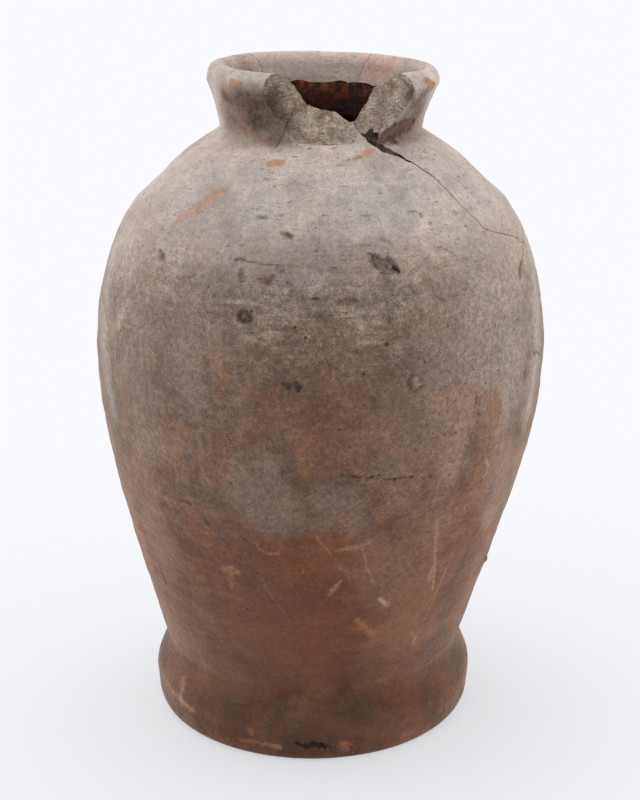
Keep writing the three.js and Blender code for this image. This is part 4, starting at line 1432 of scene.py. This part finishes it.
def fracture_material():
    g = Graph("broken clay")
    colour = g.ramp(g.noise(8, 21, 4, 0.6), [
        (0.36, (168, 149, 133)),
        (0.5, (202, 184, 169)),
        (0.64, (222, 208, 194)),
    ])
    grains = g.noise(1.1, 22, 4, 0.75)
    colour = g.tinted(colour, grains, 1.0, (0.6, 0.59, 0.58), (1.3, 1.3, 1.3))
    veins = g.noise(3.4, 26, 4, 0.7, stretch=(1.0, 1.0, 0.4))
    colour = g.tinted(colour, veins, 1.0, (0.84, 0.83, 0.82), (1.15, 1.14, 1.13))
    layers = g.spread(g.noise(1.5, 27, 3, 0.6, stretch=(0.5, 0.5, 1.5), warp=1.2), 0.4, 0.6)
    colour = g.mix(1.0, colour, g.mix(layers, (0.82, 0.81, 0.8), (1.12, 1.11, 1.1)), "MULTIPLY")
    cells = g.node("ShaderNodeTexVoronoi", {"Vector": g.shifted(6.5, 28), "Scale": 1.0},
                   feature="DISTANCE_TO_EDGE")
    fissures = g.spread(cells.outputs["Distance"], 0.045, 0.012)
    fissures = g.times(fissures, g.spread(g.noise(5, 29), 0.55, 0.62))
    colour = g.over(colour, fissures, 0.5, (86, 72, 63))
    flakes = g.spread(g.noise(1.5, 23, 3, 0.65), 0.66, 0.72)
    colour = g.over(colour, flakes, 0.6, (226, 214, 200))
    holes = g.spread(g.noise(1.4, 24, 3, 0.65), 0.34, 0.28)
    colour = g.over(colour, holes, 0.65, (80, 66, 56))
    paint = g.attribute("paint")
    colour = g.mix(g.times(paint.outputs["Alpha"], 0.9), colour, paint.outputs["Color"])
    rise = g.raised((grains, 0.7), (veins, 0.8), (layers, 0.4), (fissures, -0.25), (holes, -0.45))
    return g.finish(colour, 0.93, rise, level=0.2)


def stain_and_shade_material():
    """The dark worn face inside the open crack: partly a stain, partly painted shade of the open gap."""
    g = Graph("stained crack")
    colour = g.ramp(g.noise(3, 41, 4, 0.65), [
        (0.3, (58, 46, 40)),
        (0.5, (84, 67, 58)),
        (0.7, (120, 98, 86)),
    ])
    rise = g.raised((g.noise(1.4, 42, 3, 0.7), 0.6))
    return g.finish(colour, 0.9, rise, level=0.2)


def glaze_material():
    g = Graph("red-brown glaze")
    edge = g.spread(g.height(), 333, 346)
    dark = g.ramp(g.noise(6, 31, 5, 0.65), [
        (0.34, (16, 5, 3)),
        (0.5, (40, 12, 6)),
        (0.66, (86, 30, 11)),
    ])
    runs = g.noise(4, 32, 4, 0.7, stretch=(1, 1, 0.6))
    bright = g.ramp(runs, [
        (0.36, (28, 9, 6)),
        (0.47, (72, 26, 12)),
        (0.58, (128, 60, 22)),
        (0.7, (130, 78, 52)),
    ])
    colour = g.mix(g.math("MULTIPLY", edge, g.spread(runs, 0.4, 0.58), clamp=True), dark, bright)
    crust = g.specks(2.0, 33, 0.35, 0.3)
    colour = g.over(colour, crust, 0.35, (126, 96, 80))
    rise = g.raised((g.noise(3.0, 34, 4, 0.6), 0.7), (crust, 0.2))
    roughness = g.spread(g.noise(5, 35, 3), 0.35, 0.65, 0.28, 0.58)
    return g.finish(colour, roughness, rise, level=0.14, coat=0.03)


def floor_material():
    """Pale paper. What the camera sees is half its lit colour and half a plain one."""
    g = Graph("paper")
    grain = g.spread(g.noise(1.2, 51, 2), 0.2, 0.8, 0.995, 1.005)
    lit = g.node("ShaderNodeBsdfDiffuse", {"Color": g.shade(rgb(FLOOR_COLOUR), grain)})
    half_lit = g.node("ShaderNodeBsdfDiffuse", {"Color": g.shade(rgb(FLOOR_SEEN_LIT), grain)})
    plain = g.node("ShaderNodeEmission", {"Color": rgb(FLOOR_SEEN_PLAIN), "Strength": 1.0})
    seen = g.node("ShaderNodeAddShader", {0: half_lit.outputs[0], 1: plain.outputs[0]})
    ray = g.node("ShaderNodeLightPath")
    chosen = g.math("MAXIMUM", ray.outputs["Is Camera Ray"], ray.outputs["Is Glossy Ray"])
    chosen = g.math("MAXIMUM", chosen, ray.outputs["Is Transmission Ray"])
    surface = g.node("ShaderNodeMixShader", {0: chosen, 1: lit.outputs[0], 2: seen.outputs[0]})
    out = g.node("ShaderNodeOutputMaterial")
    g.tree.links.new(surface.outputs[0], out.inputs[0])
    return g.material


# The pieces


NEAR_OUTSIDE = 2.6 * MM
NEAR_INSIDE = 1.5 * MM
SHARP_OVER = 48


def add_values(mesh, name, kind, values):
    made = mesh.attributes.new(name, kind, "POINT")
    field = "color" if kind == "FLOAT_COLOR" else "value"
    made.data.foreach_set(field, values.astype(np.float32).ravel())


def on_skin(places):
    """The places, moved on to the jar's smooth line if they are near it."""
    out = places.copy()
    radius = np.maximum(np.hypot(out[:, 0], out[:, 1]), 1e-9)
    outer = outside_radius(out[:, 2])
    near = (np.abs(radius - outer) < NEAR_OUTSIDE) & (out[:, 2] < LIP_CENTRE)
    inner = neck_inside_radius(out[:, 2])
    within = (np.abs(radius - inner) < NEAR_INSIDE) & (out[:, 2] > NECK) & (out[:, 2] < LIP_CENTRE)
    target = np.where(near, outer, np.where(within, inner, radius))
    out[:, :2] *= (target / radius)[:, None]
    return out


def piece(name, part, materials, node):
    places, faces, slots = part
    made = new_mesh(name, places, faces, slots, materials)
    colour, cover, sunk = mark_paint(on_skin(straightened(places)))
    add_values(made.data, "paint", "FLOAT_COLOR", np.column_stack([colour, cover]))
    add_values(made.data, "sunk", "FLOAT", sunk)
    made.data.polygons.foreach_set("use_smooth", np.ones(len(faces), bool))
    made.data.set_sharp_from_angle(angle=math.radians(SHARP_OVER))
    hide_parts(node)
    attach(made, "root")
    return made


# The stage

FLOOR_COLOUR = (244, 245, 248)
FLOOR_SEEN_LIT = (171, 172, 175)
FLOOR_SEEN_PLAIN = (187, 188, 191)
FLOOR_HALF = 30
SUN_FROM = (-0.5, -0.35, 1.6)
SUN_SPREAD = 80
SUN_STRENGTH = 0.5
WORLD_FRONT = 0.265
WORLD_BACK = 1.18
WORLD_SIDES = 0.6
WORLD_TOP = 0.14
WORLD_SEEN = 0.96
WORLD_TURN = 0.75
SKY_COLOUR = (0.985, 0.99, 1.0, 1)


def stage():
    mesh = bpy.data.meshes.new("floor")
    h = FLOOR_HALF
    mesh.from_pydata([(-h, -h, 0), (h, -h, 0), (h, h, 0), (-h, h, 0)], [], [(0, 1, 2, 3)])
    floor = bpy.data.objects.new("floor", mesh)
    bpy.context.collection.objects.link(floor)
    mesh.materials.append(floor_material())
    data = bpy.data.lights.new("soft_top", "SUN")
    data.energy = SUN_STRENGTH
    data.angle = math.radians(SUN_SPREAD)
    lamp = bpy.data.objects.new("soft_top", data)
    lamp.location = SUN_FROM
    lamp.rotation_euler = Vector(SUN_FROM).to_track_quat("Z", "Y").to_euler()
    bpy.context.collection.objects.link(lamp)
    studio_world()


def studio_world():
    """Soft light from all round, brighter at the sides and behind the jar than in front of it.
    Where the world is seen, or mirrored, it is plain white."""
    world = bpy.data.worlds.new("studio")
    world.use_nodes = True
    nodes, links = world.node_tree.nodes, world.node_tree.links

    def worked(operation, *values):
        made = nodes.new("ShaderNodeMath")
        made.operation = operation
        for socket, value in zip(made.inputs, values):
            if isinstance(value, bpy.types.NodeSocket):
                links.new(value, socket)
            else:
                socket.default_value = value
        return made.outputs[0]

    where = nodes.new("ShaderNodeTexCoord")
    split = nodes.new("ShaderNodeSeparateXYZ")
    links.new(where.outputs["Generated"], split.inputs[0])
    x, y, z = split.outputs
    back = nodes.new("ShaderNodeMapRange")
    back.interpolation_type = "SMOOTHSTEP"
    links.new(y, back.inputs["Value"])
    back.inputs["From Min"].default_value = -WORLD_TURN
    back.inputs["From Max"].default_value = WORLD_TURN
    back.inputs["To Min"].default_value = WORLD_FRONT
    back.inputs["To Max"].default_value = WORLD_BACK
    level = worked("MULTIPLY_ADD", worked("MULTIPLY", x, x), WORLD_SIDES, back.outputs["Result"])
    level = worked("MULTIPLY_ADD", z, WORLD_TOP, level)
    ray = nodes.new("ShaderNodeLightPath")
    seen = worked("MAXIMUM", ray.outputs["Is Camera Ray"], ray.outputs["Is Glossy Ray"])
    seen = worked("MAXIMUM", seen, ray.outputs["Is Transmission Ray"])
    level = worked("ADD", level, worked("MULTIPLY", seen, worked("SUBTRACT", WORLD_SEEN, level)))
    sky = nodes["Background"]
    sky.inputs["Color"].default_value = SKY_COLOUR
    links.new(level, sky.inputs["Strength"])
    bpy.context.scene.world = world


# The third slot is the open crack's face, a stain with painted shade
MATERIALS_IN_CUTS = [bpy.data.materials.new(name) for name in ("skin", "broken", "stained")]

photographed_marks()
hidden_marks()
cutters = [
    lost_piece(),
    joint_cut("right_joint", RIGHT_JOINT, 81),
    joint_cut("left_joint", LEFT_JOINT, 84),
    joint_cut("back_joint", BACK_JOINT, 87),
]
clay_parts = separated(cut_away(whole_clay(), cutters))
glaze_parts = separated(cut_away(whole_glaze(), cutters))
for cutter in cutters:
    bpy.data.objects.remove(cutter)

SKIN = skin_material()
BROKEN = fracture_material()
STAIN_AND_SHADE = stain_and_shade_material()
GLAZED = glaze_material()
CLAY_NODES = [
    ("body", "pot_body", "body_clay"),
    ("right_sherd", "right_shoulder_sherd", "right_sherd_clay"),
    ("back_sherd", "back_neck_sherd", "back_sherd_clay"),
    ("left_sherd", "left_neck_sherd", "left_sherd_clay"),
]
GLAZE_NODES = ["body_glaze", "right_sherd_glaze", "back_sherd_glaze", "left_sherd_glaze"]
for (name, node, slot), part in zip(CLAY_NODES, clay_parts):
    piece(f"{name}_looks", part, [SKIN, BROKEN, STAIN_AND_SHADE], node)
for node, part in zip(GLAZE_NODES, glaze_parts):
    piece(f"{node}_looks", part, [GLAZED, BROKEN, STAIN_AND_SHADE], node)

camera()
stage()
scene = bpy.context.scene
scene.view_settings.view_transform = "Standard"
